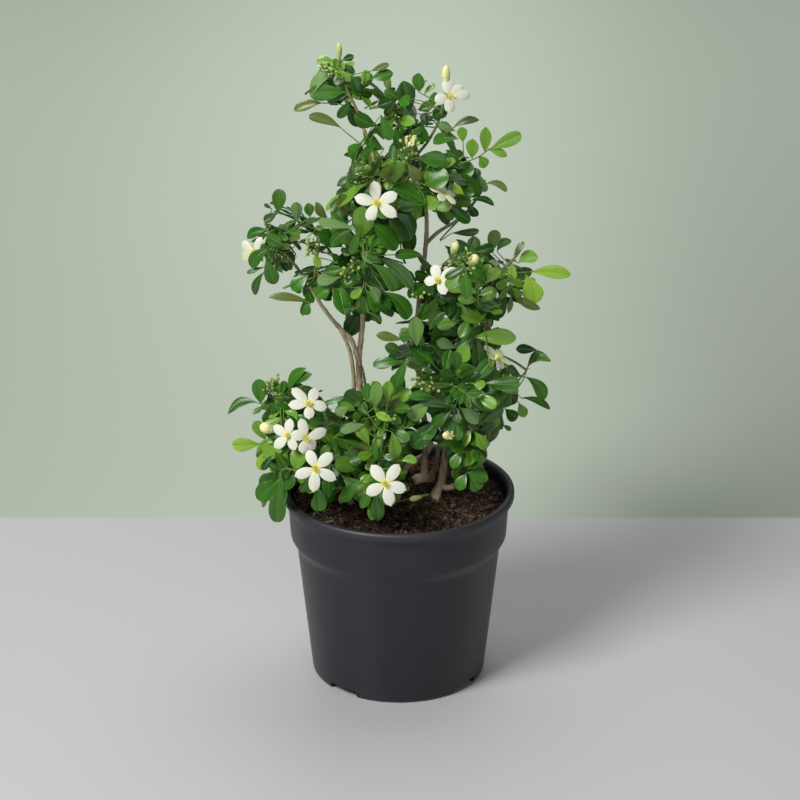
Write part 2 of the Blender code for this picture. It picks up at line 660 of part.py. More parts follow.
def corolla(middle, facing, size, spin):
    """Five petals on a short tube, as one closed plate that curves back at its tips."""
    facing = facing.normalized()
    side = across(facing)
    other = facing.cross(side)
    reach = PETAL_REACH * size
    half = PETAL_WIDTH * size / 2

    def place(r, angle, t=0.0):
        x, y = r * math.cos(angle) - t * math.sin(angle), r * math.sin(angle) + t * math.cos(angle)
        far = math.hypot(x, y)
        rise = 0.30 * far - 0.0225 * far * far
        slope = 0.30 - 0.045 * far
        across_way = (side * x + other * y) / max(far, 1e-6)
        normal = (facing - across_way * slope).normalized()
        return middle + side * x + other * y + facing * rise, normal

    shape = Shape()
    spots = []
    triangles = []
    hub = []
    for k in range(5):
        hub.append(len(spots))
        spots.append(place(HUB_RADIUS, spin + math.tau * (k - 0.5) / 5))
    for k in range(5):
        angle = spin + math.tau * k / 5
        first = len(spots)
        for share, wide in ((0.52, -0.86), (0.80, -0.92), (1.0, 0.0), (0.80, 0.92), (0.52, 0.86)):
            spots.append(place(share * reach, angle, wide * half))
        a, b = hub[k], hub[(k + 1) % 5]
        r1, r2, tip, l2, l1 = range(first, first + 5)
        triangles += [(a, r1, b), (r1, l1, b), (r1, r2, l1), (r2, l2, l1), (r2, tip, l2)]
    triangles += [(hub[0], hub[1], hub[2]), (hub[0], hub[2], hub[3]), (hub[0], hub[3], hub[4])]
    upper = shape.add([p + n * PETAL_HALF for p, n in spots])
    lower = shape.add([p - n * PETAL_HALF for p, n in spots])
    foot = []
    for k in range(5):
        angle = spin + math.tau * (k - 0.5) / 5
        ring = side * math.cos(angle) + other * math.sin(angle)
        foot.append(middle + ring * TUBE_RADIUS - facing * TUBE_LENGTH)
    tube_end = shape.add(foot)
    edges = {}
    for face in triangles:
        a, b, c = face
        shape.faces.append((upper[a], upper[b], upper[c]))
        if set(face) - set(hub):
            shape.faces.append((lower[c], lower[b], lower[a]))
        for edge in ((a, b), (b, c), (c, a)):
            edges[edge] = True
    for a, b in edges:
        if (b, a) not in edges:
            shape.faces.append((upper[b], upper[a], lower[a]))
            shape.faces.append((upper[b], lower[a], lower[b]))
    for k in range(5):
        n = (k + 1) % 5
        shape.faces.append((tube_end[k], tube_end[n], lower[hub[n]]))
        shape.faces.append((tube_end[k], lower[hub[n]], lower[hub[k]]))
    shape.faces.append(tuple(reversed(tube_end)))
    return shape


def flower_centre(middle, facing, size):
    """The knot of stamens that stands on the corolla."""
    facing = facing.normalized()
    low = 0.30 * HUB_RADIUS + PETAL_HALF + GAP
    path = [middle + facing * low, middle + facing * (low + 1.8 * size), middle + facing * (low + 3.0 * size)]
    return tube(path, [1.25 * size, 1.7 * size, 0.8 * size], 5)


def bud(foot, tip, radius, sides=5):
    """A closed bud, widest beyond its middle."""
    foot, tip = Vector(foot), Vector(tip)
    shares = (0.0, 0.3, 0.62, 0.88, 1.0)
    widths = (0.42, 0.78, 1.0, 0.66, 0.2)
    return tube([foot.lerp(tip, s) for s in shares], [radius * w for w in widths], sides)


def stalk(start, end, ahead, away, chance):
    """A flower stalk from the twig to just under the flower, widening into the calyx."""
    reach = (end - start).length
    bend = start + away * (0.35 * reach) + Vector([chance.uniform(-1, 1) for _ in range(3)]) * 0.1 * reach
    before = end - ahead * min(0.35 * reach, 5.0)
    path = [start, start.lerp(bend, 0.5).lerp(before, 0.25), before, end]
    return tube(path, [0.55, 0.5, 0.6, 1.35], 4)


class Garden:
    """Places leaves and stalks so that nothing crosses another piece."""

    def __init__(self):
        self.placed = []

    def add(self, owner, shape):
        box_low = Vector([min(p[i] for p in shape.points) for i in range(3)])
        box_high = Vector([max(p[i] for p in shape.points) for i in range(3)])
        self.placed.append((owner, box_low, box_high, shape.tree()))

    def clear(self, shape, owners=None, leave_out=None):
        low = [min(p[i] for p in shape.points) - 0.1 for i in range(3)]
        high = [max(p[i] for p in shape.points) + 0.1 for i in range(3)]
        tree = shape.tree()
        for owner, box_low, box_high, other in self.placed:
            if owner == leave_out or (owners is not None and owner != owners):
                continue
            if any(box_low[i] > high[i] or box_high[i] < low[i] for i in range(3)):
                continue
            if tree.overlap(other):
                return False
        return True


def leaf_to(path, place, tip, chance, spray_base, pairs):
    """A leaf that grows from this place on the twig and reaches this tip."""
    base, _ = point_at(path, place)
    tip = Vector(tip)
    chord = tip - base
    droop = chance.uniform(0.35, 0.6)
    length = chord.length / (math.sin(droop / 2) / (droop / 2))
    normal = leaf_normal(base, chord.normalized(), spray_base)
    side = normal.cross(chord.normalized())
    ahead = turn(chord.normalized(), side, -droop / 2)
    return Leaf(base, ahead, normal, length, droop, chance.uniform(0.08, 0.3), pairs)


def outward(point, spray_base):
    near = Vector((point.x - spray_base.x, point.y - spray_base.y, 0.0))
    far = Vector((point.x, point.y - 4.0, 0.0))
    return (near.normalized() + 0.7 * far.normalized() + Vector((1e-4, 0, 0))).normalized()


def leaf_normal(base, ahead, spray_base):
    """Upper sides face up and out, and a little to the front on the near side."""
    facing = 0.95 * UP + 0.5 * outward(base, spray_base) + (0.42 if base.y < 15 else 0.0) * FRONT
    normal = facing - ahead * facing.dot(ahead)
    if normal.length < 0.15:
        normal = across(ahead).cross(ahead)
    return normal.normalized()


def free_leaf(path, place, angle, size, chance, spray_base):
    """A leaf that leaves the twig at this angle around it."""
    base, ahead = point_at(path, place)
    side = across(ahead)
    radial = turn(side, ahead, angle)
    spread = chance.uniform(0.9, 1.25) if place < 0.93 else chance.uniform(0.1, 0.5)
    way = ahead * math.cos(spread) + radial * math.sin(spread)
    way = (way + 0.45 * outward(base, spray_base) + Vector((0, 0, 0.15))).normalized()
    normal = leaf_normal(base, way, spray_base)
    normal = turn(normal, way, chance.uniform(-0.35, 0.35))
    return Leaf(base, way, normal, size, chance.uniform(0.35, 0.85), chance.uniform(0.05, 0.35), 1)


def jittered(leaf, chance, amount):
    """The same leaf turned a little about its base."""
    axis = Vector([chance.uniform(-1, 1) for _ in range(3)]).normalized()
    angle = chance.uniform(0.2, 1.0) * amount
    way = turn(leaf.ahead, axis, angle)
    normal = turn(turn(leaf.normal, axis, angle), way, chance.uniform(-0.6, 0.6) * amount)
    size = leaf.length * (1 - 0.18 * chance.random() * min(amount, 1))
    return Leaf(leaf.base, way, normal, size, leaf.droop, leaf.fold, leaf.pairs)


def wood_gap_start(path, radius, wood_tree):
    """Where a green twig's flat foot stands just clear of the wood that it grows from."""
    place = 0.0
    while place < 0.6:
        base, ahead = point_at(path, place)
        side = across(ahead)
        ring = [base + radius * turn(side, ahead, math.tau * k / 12) for k in range(12)] + [base]
        spots = [wood_tree.find_nearest(p) for p in ring]
        inside = any((p - near[0]).dot(near[1]) < 0 for p, near in zip(ring, spots))
        if not inside and min(near[3] for near in spots) >= GAP:
            return place
        place += 0.004
    return place


def rest_of(path, place):
    base, _ = point_at(path, place)
    total = sum((b - a).length for a, b in zip(path, path[1:]))
    run = 0.0
    kept = [base]
    for a, b in zip(path, path[1:]):
        run += (b - a).length
        if run / total > place + 0.04:
            kept.append(b)
    return kept


def make_materials():
    made = {}
    for name, (colour, roughness) in COLOURS.items():
        material = bpy.data.materials.new(name)
        material.use_nodes = True
        shader = material.node_tree.nodes["Principled BSDF"]
        shader.inputs["Base Color"].default_value = (*colour, 1.0)
        shader.inputs["Roughness"].default_value = roughness
        shader.inputs["Metallic"].default_value = 0.0
        made[name] = material
    return made


def clear_scene():
    for obj in list(bpy.data.objects):
        bpy.data.objects.remove(obj)


def limb_shapes(name):
    """The stem and its forks as tapering tubes, a little uneven."""
    chance = random.Random(name)
    shapes = []
    for points, foot, tip in STEMS[name]:
        path = [Vector(p) for p in points]
        shapes.append(tube(path, tapered(path, foot, tip), 6, BARK_WOBBLE, chance))
    return shapes


def joined(shapes):
    """Several shapes in one, for measuring."""
    whole = Shape()
    for shape in shapes:
        start = len(whole.points)
        whole.points += shape.points
        whole.faces += [tuple(start + i for i in face) for face in shape.faces]
    return whole


def flower_shapes(name):
    """The petals and, where it shows, the centre of a flower."""
    middle, facing, _, _, size = FLOWERS[name]
    middle, facing = Vector(middle), Vector(facing).normalized()
    spin = random.Random(name).uniform(0, math.tau / 5)
    shapes = [corolla(middle, facing, size, spin)]
    if name not in HIDDEN_CENTRES:
        shapes.append(flower_centre(middle, facing, size))
    return shapes


class Plant:
    """The layout of the whole plant: every shape has its place before the meshes are made."""

    def __init__(self):
        self.garden = Garden()
        self.wood = {name: limb_shapes(name) for name in STEMS}
        self.flowers = {name: flower_shapes(name) for name in FLOWERS}
        self.buds = {name: bud(*BUDS[name][:3]) for name in BUDS}
        self.twigs = {name: [] for name in SPRAYS}
        self.green = {name: [] for name in SPRAYS}
        self.leaves = {name: [] for name in SPRAYS}
        self.garden.add("pot", turned(pot_profile(), POT_SEGMENTS))
        self.garden.add("soil", soil_shape())
        for name, shapes in {**self.wood, **self.flowers}.items():
            for shape in shapes:
                self.garden.add(name, shape)
        for name, shape in self.buds.items():
            self.garden.add(name, shape)
        for name in SPRAYS:
            self.grow_twigs(name)
        for name, (middle, facing, spray, place, _) in FLOWERS.items():
            facing = Vector(facing).normalized()
            self.grow_stalk(spray, place, Vector(middle) - facing * (TUBE_LENGTH + GAP), facing, name)
        for name, (foot, tip, _, spray, place) in BUDS.items():
            ahead = (Vector(tip) - Vector(foot)).normalized()
            self.grow_stalk(spray, place, Vector(foot) - ahead * GAP, ahead, name)
        for index, cluster in enumerate(CLUSTERS):
            self.grow_cluster(index, *cluster)
        for name in SPRAYS:
            self.grow_set_leaves(name)
        for name in SPRAYS:
            self.grow_free_leaves(name)

    def keep(self, name, shape):
        self.green[name].append(shape)
        self.garden.add(name, shape)

    def grow_twigs(self, name):
        stem = SPRAYS[name]["stem"]
        for i, points in enumerate(SPRAYS[name]["twigs"]):
            path = [Vector(p) for p in points]
            if i == 0 and stem in STEMS:
                path = rest_of(path, wood_gap_start(path, TWIG_RADIUS, joined(self.wood[stem]).tree()))
            foot = SIDE_TWIG_RADIUS if i else (SHOOT_RADIUS if stem == "soil" else TWIG_RADIUS)
            self.twigs[name].append(path)
            self.keep(name, tube(path, tapered(path, foot, TWIG_TIP_RADIUS), 5))

    def grow_stalk(self, name, place, end, ahead, label):
        """Finds a stalk that reaches the flower's foot without crossing anything."""
        chance = random.Random(label)
        paths = self.twigs[name]
        for attempt in range(60):
            path = paths[attempt % len(paths)] if attempt > 12 else paths[0]
            spot = min(max(place + chance.uniform(-0.06, 0.06) * attempt / 6, 0.12), 0.98)
            start, along = point_at(path, spot)
            away = turn(across(along), along, chance.uniform(0, math.tau))
            shape = stalk(start, end, ahead, away, chance)
            if self.garden.clear(shape, leave_out=name):
                break
        self.keep(name, shape)

    def grow_cluster(self, index, name, place, end, count):
        """Small green buds, each on its own stalk."""
        chance = random.Random(900 + index)
        for k in range(count):
            for attempt in range(30):
                start, _ = point_at(self.twigs[name][0], place + 0.05 * k)
                goal = Vector(end) + Vector([chance.uniform(-5, 5) for _ in range(3)])
                way = (goal - start).normalized()
                middle = start.lerp(goal, 0.5) + Vector([chance.uniform(-2, 2) for _ in range(3)])
                path = [start, middle, goal - way * 1.2, goal + way * 2.4, goal + way * 4.6]
                shape = tube(path, [0.5, 0.45, 0.7, 1.5, 0.5], 4)
                if self.garden.clear(shape, leave_out=name):
                    self.keep(name, shape)
                    break

    def grow_set_leaves(self, name):
        """The leaves whose tips are given. The first on a near spray has two pairs of leaflets."""
        plan = SPRAYS[name]
        chance = random.Random(plan["seed"])
        for key, path in (("out", self.twigs[name][0]), ("side_out", self.twigs[name][-1])):
            for i, (place, tip) in enumerate(plan.get(key, ())):
                pairs = 2 if i == 0 and not plan.get("far") else 1
                leaf = leaf_to(path, place, tip, chance, Vector(plan["twigs"][0][0]), pairs)
                self.settle(name, leaf, chance, 40)

    def grow_free_leaves(self, name):
        """More leaves around the twigs, by the golden angle."""
        plan = SPRAYS[name]
        chance = random.Random(plan["seed"] + 100)
        angle = chance.uniform(0, math.tau)
        paths = self.twigs[name]
        for k in range(plan["leaves"]):
            place = 0.25 + 0.75 * (k + 0.5) / plan["leaves"]
            angle += math.radians(137.5)
            size = LEAF_LENGTH * chance.uniform(0.8, 1.02)
            leaf = free_leaf(paths[k % len(paths)], place, angle, size, chance, Vector(plan["twigs"][0][0]))
            self.settle(name, leaf, chance, 60)

    def settle(self, name, leaf, chance, tries):
        """Turns a leaf until it is clear of all the rest, or leaves it out."""
        for attempt in range(tries):
            trial = leaf if attempt == 0 else jittered(leaf, chance, 0.12 + 0.9 * attempt / tries)
            tip = trial.place(trial.length, 0)[0]
            if tip.z < SOIL_TOP + 3 and math.hypot(tip.x, tip.y) < 92:
                continue
            if not self.garden.clear(trial.shape(BLADE_HALF + CLEAR, 1.02), leave_out=name):
                continue
            if not self.garden.clear(trial.shape(BLADE_HALF + 0.1, 1.01, skip=4.5), owners=name):
                continue
            self.leaves[name].append(trial)
            self.garden.add(name, trial.shape())
            return


def build():
    plant = Plant()
    make_pot()
    holes = [(*STEMS[name][0][0][0], STEMS[name][0][1] * (1 + BARK_WOBBLE)) for name in STEMS]
    holes.append((*SPRAYS["spray_front_low"]["twigs"][0][0], SHOOT_RADIUS))
    make_soil(holes)
    for name, shapes in plant.wood.items():
        fused(name, shapes, "bark", 60)
    for name, shapes in plant.flowers.items():
        mesh_object(name, shapes[0], "petal", 50)
        if len(shapes) > 1:
            mesh_object(name + "_centre", shapes[1], "centre", 50)
    for name, shape in plant.buds.items():
        mesh_object(name, shape, "bud", 50)
    for name in SPRAYS:
        fused(name, plant.green[name] + [leaf.shape() for leaf in plant.leaves[name]], "leaf", 35)


clear_scene()
MATERIALS = make_materials()
build()
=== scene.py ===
import json
import math
import random

import bmesh
import bpy
import numpy as np
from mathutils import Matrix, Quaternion, Vector, noise

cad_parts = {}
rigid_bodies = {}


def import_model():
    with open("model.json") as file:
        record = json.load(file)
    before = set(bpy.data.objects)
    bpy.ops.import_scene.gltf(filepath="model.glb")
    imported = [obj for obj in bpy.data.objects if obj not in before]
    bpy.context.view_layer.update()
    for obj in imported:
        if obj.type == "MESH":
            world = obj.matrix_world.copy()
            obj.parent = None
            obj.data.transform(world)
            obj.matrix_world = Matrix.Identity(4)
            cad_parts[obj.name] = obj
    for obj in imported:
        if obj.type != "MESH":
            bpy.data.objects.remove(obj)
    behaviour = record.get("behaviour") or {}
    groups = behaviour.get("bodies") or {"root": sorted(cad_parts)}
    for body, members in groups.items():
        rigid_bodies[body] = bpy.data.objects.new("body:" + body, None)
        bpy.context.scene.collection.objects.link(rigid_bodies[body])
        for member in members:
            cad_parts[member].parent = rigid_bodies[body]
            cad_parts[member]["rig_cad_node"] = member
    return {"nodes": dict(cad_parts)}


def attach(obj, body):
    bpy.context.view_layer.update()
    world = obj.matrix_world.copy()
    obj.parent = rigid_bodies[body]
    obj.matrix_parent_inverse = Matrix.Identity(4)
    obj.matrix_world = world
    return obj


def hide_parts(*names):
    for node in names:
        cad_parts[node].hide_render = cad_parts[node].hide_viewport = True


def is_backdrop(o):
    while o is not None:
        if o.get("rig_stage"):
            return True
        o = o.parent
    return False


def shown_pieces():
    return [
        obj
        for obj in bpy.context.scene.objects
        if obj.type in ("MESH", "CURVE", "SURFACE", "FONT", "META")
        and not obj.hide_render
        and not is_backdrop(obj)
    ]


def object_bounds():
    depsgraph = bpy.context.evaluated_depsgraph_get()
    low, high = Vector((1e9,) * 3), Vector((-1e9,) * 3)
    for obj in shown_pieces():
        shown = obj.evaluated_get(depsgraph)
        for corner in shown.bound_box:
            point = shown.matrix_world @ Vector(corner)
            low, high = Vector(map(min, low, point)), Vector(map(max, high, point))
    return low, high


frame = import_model()
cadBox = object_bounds()
print("frame loaded:", len(frame["nodes"]), "nodes")

# Everything is laid out in millimetres, as in the part's source, and meshes are made in metres.
mm = 0.001
up = Vector((0.0, 0.0, 1.0))
front = Vector((0.0, -1.0, 0.0))


# Shaders: a socket that Python sums can use, and a painter that adds nodes
class Wire:
    def __init__(self, tree, socket):
        self.tree, self.socket = tree, socket

    def sum(self, operation, first, second=None, clamp=False):
        node = self.tree.nodes.new("ShaderNodeMath")
        node.operation, node.use_clamp = operation, clamp
        for place, value in enumerate((first, second)):
            if isinstance(value, Wire):
                self.tree.links.new(value.socket, node.inputs[place])
            elif value is not None:
                node.inputs[place].default_value = value
        return Wire(self.tree, node.outputs[0])

    def __add__(self, other):
        return self.sum("ADD", self, other)

    def __sub__(self, other):
        return self.sum("SUBTRACT", self, other)

    def __rsub__(self, other):
        return self.sum("SUBTRACT", other, self)

    def __mul__(self, other):
        return self.sum("MULTIPLY", self, other)

    def __pow__(self, other):
        return self.sum("POWER", self, other)

    def __rpow__(self, other):
        return self.sum("POWER", other, self)

    __radd__, __rmul__ = __add__, __mul__

    def size(self):
        return self.sum("ABSOLUTE", self)

    def wave(self):
        return self.sum("SINE", self)

    def held(self):  # kept from 0 to 1
        return self.sum("ADD", self, 0.0, clamp=True)

    def step(self, low, high):  # smoothly 0 to 1 between these values
        t = ((self - low) * (1.0 / (high - low))).held()
        return t * t * (3.0 - 2.0 * t)


class Paint:
    def __init__(self, name, **fixed):
        self.material = bpy.data.materials.new(name)
        self.material.use_nodes = True
        self.tree = self.material.node_tree
        self.shader = self.tree.nodes["Principled BSDF"]
        for socket, value in fixed.items():
            self.shader.inputs[socket.replace("_", " ")].default_value = value

    def add(self, kind, settings=None, values=None, out=0):
        node = self.tree.nodes.new(kind)
        for key, value in (settings or {}).items():
            setattr(node, key, value)
        for key, value in (values or {}).items():
            if isinstance(value, Wire):
                self.tree.links.new(value.socket, node.inputs[key])
            else:
                node.inputs[key].default_value = value
        return Wire(self.tree, node.outputs[out])

    def place(self, stretch=None):
        spot = self.add("ShaderNodeTexCoord", out="Object")
        return self.add("ShaderNodeMapping", values={"Vector": spot, "Scale": stretch}) if stretch else spot

    def attribute(self, name):
        return self.add("ShaderNodeAttribute", {"attribute_name": name}, out="Fac")

    def parts(self, vector):
        node = self.add("ShaderNodeSeparateXYZ", values={"Vector": vector}).socket.node
        return [Wire(self.tree, socket) for socket in node.outputs]

    def grain(self, scale, detail=3.0, roughness=0.55, stretch=None, distortion=0.0):
        return self.add("ShaderNodeTexNoise", values={
            "Vector": self.place(stretch), "Scale": scale, "Detail": detail, "Roughness": roughness,
            "Distortion": distortion})

    def spots(self, scale, stretch=None):  # how far it is to the nearest of scattered spots
        return self.add("ShaderNodeTexVoronoi", values={"Vector": self.place(stretch), "Scale": scale})

    def mix(self, share, first, second, blend="MIX"):
        def colour(value):
            return value if isinstance(value, Wire) else (*value, 1.0)
        return self.add("ShaderNodeMix", {"data_type": "RGBA", "blend_type": blend},
                        {0: share, 6: colour(first), 7: colour(second)}, out=2)

    def link(self, **wires):
        for name, wire in wires.items():
            self.tree.links.new(wire.socket, self.shader.inputs[name.replace("_", " ")])

    def bump(self, height, strength, distance):
        values = {"Height": height, "Strength": strength, "Distance": distance}
        self.link(Normal=self.add("ShaderNodeBump", values=values))


def scaled(colour, share):
    return [part * share for part in colour]


# Meshes
class Heap:  # what one piece is made of, gathered before its mesh
    def __init__(self):
        self.points, self.faces, self.paints, self.values, self.count = [], [], [], {}, 0

    def add(self, points, faces, paint=0, **values):
        points = np.asarray([tuple(p) for p in points] if isinstance(points[0], Vector) else points, float)
        start, number = self.count, len(points)
        self.points.append(points)
        self.faces.extend(tuple(start + i for i in face) for face in faces)
        self.paints.extend([paint] * len(faces))
        for key in sorted({*self.values, *values}):
            value = np.broadcast_to(np.asarray(values.get(key, 0.0), float), (number,))
            self.values.setdefault(key, [np.zeros(start)] if start else []).append(value)
        self.count += number

    def make(self, name, paints, slot, replaces=(), sharp=None):
        mesh = bpy.data.meshes.new(name)
        mesh.from_pydata((np.concatenate(self.points) * mm).tolist(), [], self.faces)
        mesh.polygons.foreach_set("material_index", self.paints)
        for paint in paints:
            mesh.materials.append(paint)
        mesh.shade_smooth()
        if sharp:
            mesh.set_sharp_from_angle(angle=math.radians(sharp))
        for key, value in self.values.items():
            layer = mesh.attributes.new(key, "FLOAT", "POINT")
            layer.data.foreach_set("value", np.concatenate(value).astype(np.float32))
        mesh.update()
        piece = linked(name, mesh)
        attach(piece, "root")
        if replaces:
            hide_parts(*replaces)


def linked(name, data):  # an object in the scene
    made = bpy.data.objects.new(name, data)
    bpy.context.scene.collection.objects.link(made)
    return made


def ringFaces(rings, sides):  # the faces between closed rings of points
    pairs = [(k, (k + 1) % sides) for k in range(sides)]
    return [(i * sides + k, i * sides + after, (i + 1) * sides + after, (i + 1) * sides + k)
            for i in range(rings - 1) for k, after in pairs]


def gridFaces(rows, columns, flip=False):
    faces = [(i * columns + j, i * columns + j + 1, (i + 1) * columns + j + 1, (i + 1) * columns + j)
             for i in range(rows - 1) for j in range(columns - 1)]
    return [face[::-1] for face in faces] if flip else faces


def ringPoints(middle, side, other, radius, count):  # round a circle in the plane of side and other
    return [middle + (side * math.cos(a) + other * math.sin(a)) * radius
            for a in np.linspace(0, math.tau, count, endpoint=False)]


def turned(vector, axis, angle):
    return Quaternion(axis, angle) @ vector


def anyWay(chance, low, high):  # a short random vector
    return Vector([chance.uniform(low, high) for _ in range(3)])


def across(vector):  # a unit vector square to this one, as level as it can be
    side = vector.cross(up)
    if side.length < 0.05:
        side = vector.cross(front)
    return side.normalized()


def square(vector, way):  # what is left of a vector square to a unit vector, made a unit long
    return (vector - way * vector.dot(way)).normalized()


def vectors(points):
    return [Vector(p) for p in points]


def pointAt(path, place):  # the point and the direction at 0 to 1 along a path
    spans = [(b - a).length for a, b in zip(path, path[1:])]
    left = max(0.0, min(1.0, place)) * sum(spans)
    for a, b, span in zip(path, path[1:], spans):
        if left <= span or b is path[-1]:
            return a.lerp(b, left / span), (b - a).normalized()
        left -= span


def smoothPath(points, radii, step):  # rounded through the given points, close to the straight runs
    points = vectors(points)
    found, sizes = [], []
    for i in range(len(points) - 1):
        a, b = points[i], points[i + 1]
        before = points[i - 1] if i else a * 2 - b
        after = points[i + 2] if i + 2 < len(points) else b * 2 - a
        count = max(1, round((b - a).length / step))
        for k in range(count):
            t = k / count
            found.append(0.5 * (2 * a + (b - before) * t + (2 * before - 5 * a + 4 * b - after) * t ** 2
                                + (3 * a - before - 3 * b + after) * t ** 3))
            sizes.append(radii[i] + (radii[i + 1] - radii[i]) * t)
    return found + [points[-1]], sizes + [radii[-1]]


def tube(heap, path, radii, sides, paint=0, rough=0.0, scale=0.2, **values):  # closed at both ends
    side, rings = None, []
    for i, centre in enumerate(path):
        ahead = (path[min(i + 1, len(path) - 1)] - path[max(i - 1, 0)]).normalized()
        side = across(ahead) if side is None else square(side, ahead)
        other = ahead.cross(side)
        for k in range(sides):
            way = side * math.cos(math.tau * k / sides) + other * math.sin(math.tau * k / sides)
            reach = radii[i]
            if rough:
                reach *= 1 + rough * noise.noise((centre + way * radii[i]) * scale)
            rings.append(centre + way * reach)
    ends = [tuple(reversed(range(sides))), tuple(range(len(rings) - sides, len(rings)))]
    along = np.repeat(np.linspace(0, 1, len(path)), sides)
    heap.add(rings, ringFaces(len(path), sides) + ends, paint, **{"along": along, **values})


# Camera, light and floor, in metres
studio = {
    "camera": (0.0, -2.0, 1.046), "pitch": 67.5, "lens": 132.3, "shift": 0.0019,
    "lamps": {  # place, what it aims at, size, power and colour
        "key": ((-1.35, -1.45, 2.25), (0, 0, 0.25), 1.0, 87, (1.0, 0.975, 0.94)),
        "fill": ((0.45, -2.1, 0.85), (0, 0, 0.22), 1.1, 7.5, (0.98, 0.99, 1.0)),
        "top": ((0.1, 0.9, 2.2), (0, 0, 0.25), 1.8, 28, (1.0, 1.0, 1.0)),
    },
    "air": (0.86, 0.93, 0.87), "airStrength": 0.12,
    "floor": (0.463, 0.467, 0.481), "floorShadeRight": 0.90, "floorHalf": 5.0,
    "backdrop": (0.372, 0.425, 0.3565), "backdropFrom": 0.264, "backdropDeep": 1.7, "edge": 0.004,
    "left": (0.88, 1.72), "right": (0.665, 1.62), "paintedGlow": 0.25, "paintedGlowHalf": 0.5,  # painted light and shade on the backdrop: its brightness near and far, darker on the right, and a painted glow in the middle
}


def makeCamera():
    lens = bpy.data.cameras.new("camera")
    lens.lens, lens.shift_x = studio["lens"], studio["shift"]
    camera = linked("camera", lens)
    camera.location = studio["camera"]
    camera.rotation_euler = (math.radians(studio["pitch"]), 0, 0)
    bpy.context.scene.camera = camera


def makeLights():
    for name, (place, aim, size, power, colour) in studio["lamps"].items():
        light = bpy.data.lights.new(name, "AREA")
        light.size, light.energy, light.color = size, power, colour
        lamp = linked(name, light)
        lamp.location = place
        lamp.rotation_euler = (Vector(aim) - Vector(place)).to_track_quat("-Z", "Y").to_euler()
    world = bpy.data.worlds.new("studio")
    world.use_nodes = True
    air = world.node_tree.nodes["Background"]
    air.inputs["Color"].default_value = (*studio["air"], 1.0)
    air.inputs["Strength"].default_value = studio["airStrength"]
    bpy.context.scene.world = world
    bpy.context.scene.view_settings.view_transform = "Standard"


def floorPaint():  # a pale floor, with a soft green backdrop painted where it is far away, and painted light and shade on both
    paint = Paint("floorPaper", Roughness=0.34, Specular_IOR_Level=0.35)
    x, y, _ = paint.parts(paint.place())
    line = studio["backdropFrom"]
    far = y.step(line - studio["edge"], line + studio["edge"])
    near = paint.mix(paint.grain(1.4, 2.0), scaled(studio["floor"], 0.97), scaled(studio["floor"], 1.03))
    # painted shade: the floor is made darker towards the right, where the shadow falls
    near = paint.mix(x.step(-0.15, 0.75) * 0.9, near, scaled(studio["floor"], studio["floorShadeRight"]))
    # painted light and shade on the backdrop: brighter far away, darker on the right, and a painted glow in
    # the middle
    deep = ((y - line) * (1 / studio["backdropDeep"])).held() ** 1.4
    left, right = (paint.mix(deep, *(scaled(studio["backdrop"], share) for share in studio[side]))
                   for side in ("left", "right"))
    backdrop = paint.mix(x.step(0.04, 0.38), left, right)
    paintedGlow = 1.0 + studio["paintedGlow"] - x.size().step(0.0, studio["paintedGlowHalf"]) * studio["paintedGlow"]
    backdrop = paint.mix(1.0, backdrop, paintedGlow, blend="MULTIPLY")
    paint.link(Base_Color=paint.mix(far, near, backdrop), Roughness=0.34 + far * 0.5)
    return paint.material


def makeFloor():
    bm = bmesh.new()
    bmesh.ops.create_grid(bm, x_segments=8, y_segments=8, size=studio["floorHalf"])
    mesh = bpy.data.meshes.new("floor")
    bm.to_mesh(mesh)
    bm.free()
    mesh.materials.append(floorPaint())
    linked("floor", mesh)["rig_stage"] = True


makeCamera()
makeLights()
makeFloor()
print("camera, light and floor made")


# Pot
pot = {
    "segments": 160, "height": 148.0, "wall": 1.6,
    "foot": 65.2, "footRound": 3.2, "footTop": 2.2, "ring": 58.2, "floor": 6.0, "floorUnder": 4.2,
    "wallTop": 76.2, "wallTopZ": 104.5, "bandFoot": 80.8, "bandFootZ": 112.0, "bandTop": 82.3,
    "lip": 86.4, "lipRound": 2.6, "lipUnder": 1.4,
    "notches": (-130.0, -40.0, 50.0, 140.0), "notchHalf": 13.5, "notchHeight": 5.6, "notchDeep": 20.0,
    "drain": 4.5, "drainAt": 44.0, "drainDeep": 8.0,
    # pale: the colour of scuffs and dust, and of the painted highlight at the lip
    "colour": (0.0096, 0.0089, 0.0150), "pale": (0.046, 0.046, 0.055), "roughness": 0.37,
    "lipFrom": (140.5, 146.5), "scuffedTo": (4.0, 30.0),
}


def arc(middle, radius, start, stop, steps):  # points on a circle in the section, in degrees
    return [(middle[0] + radius * math.cos(math.radians(a)), middle[1] + radius * math.sin(math.radians(a)))
            for a in np.linspace(start, stop, steps)]


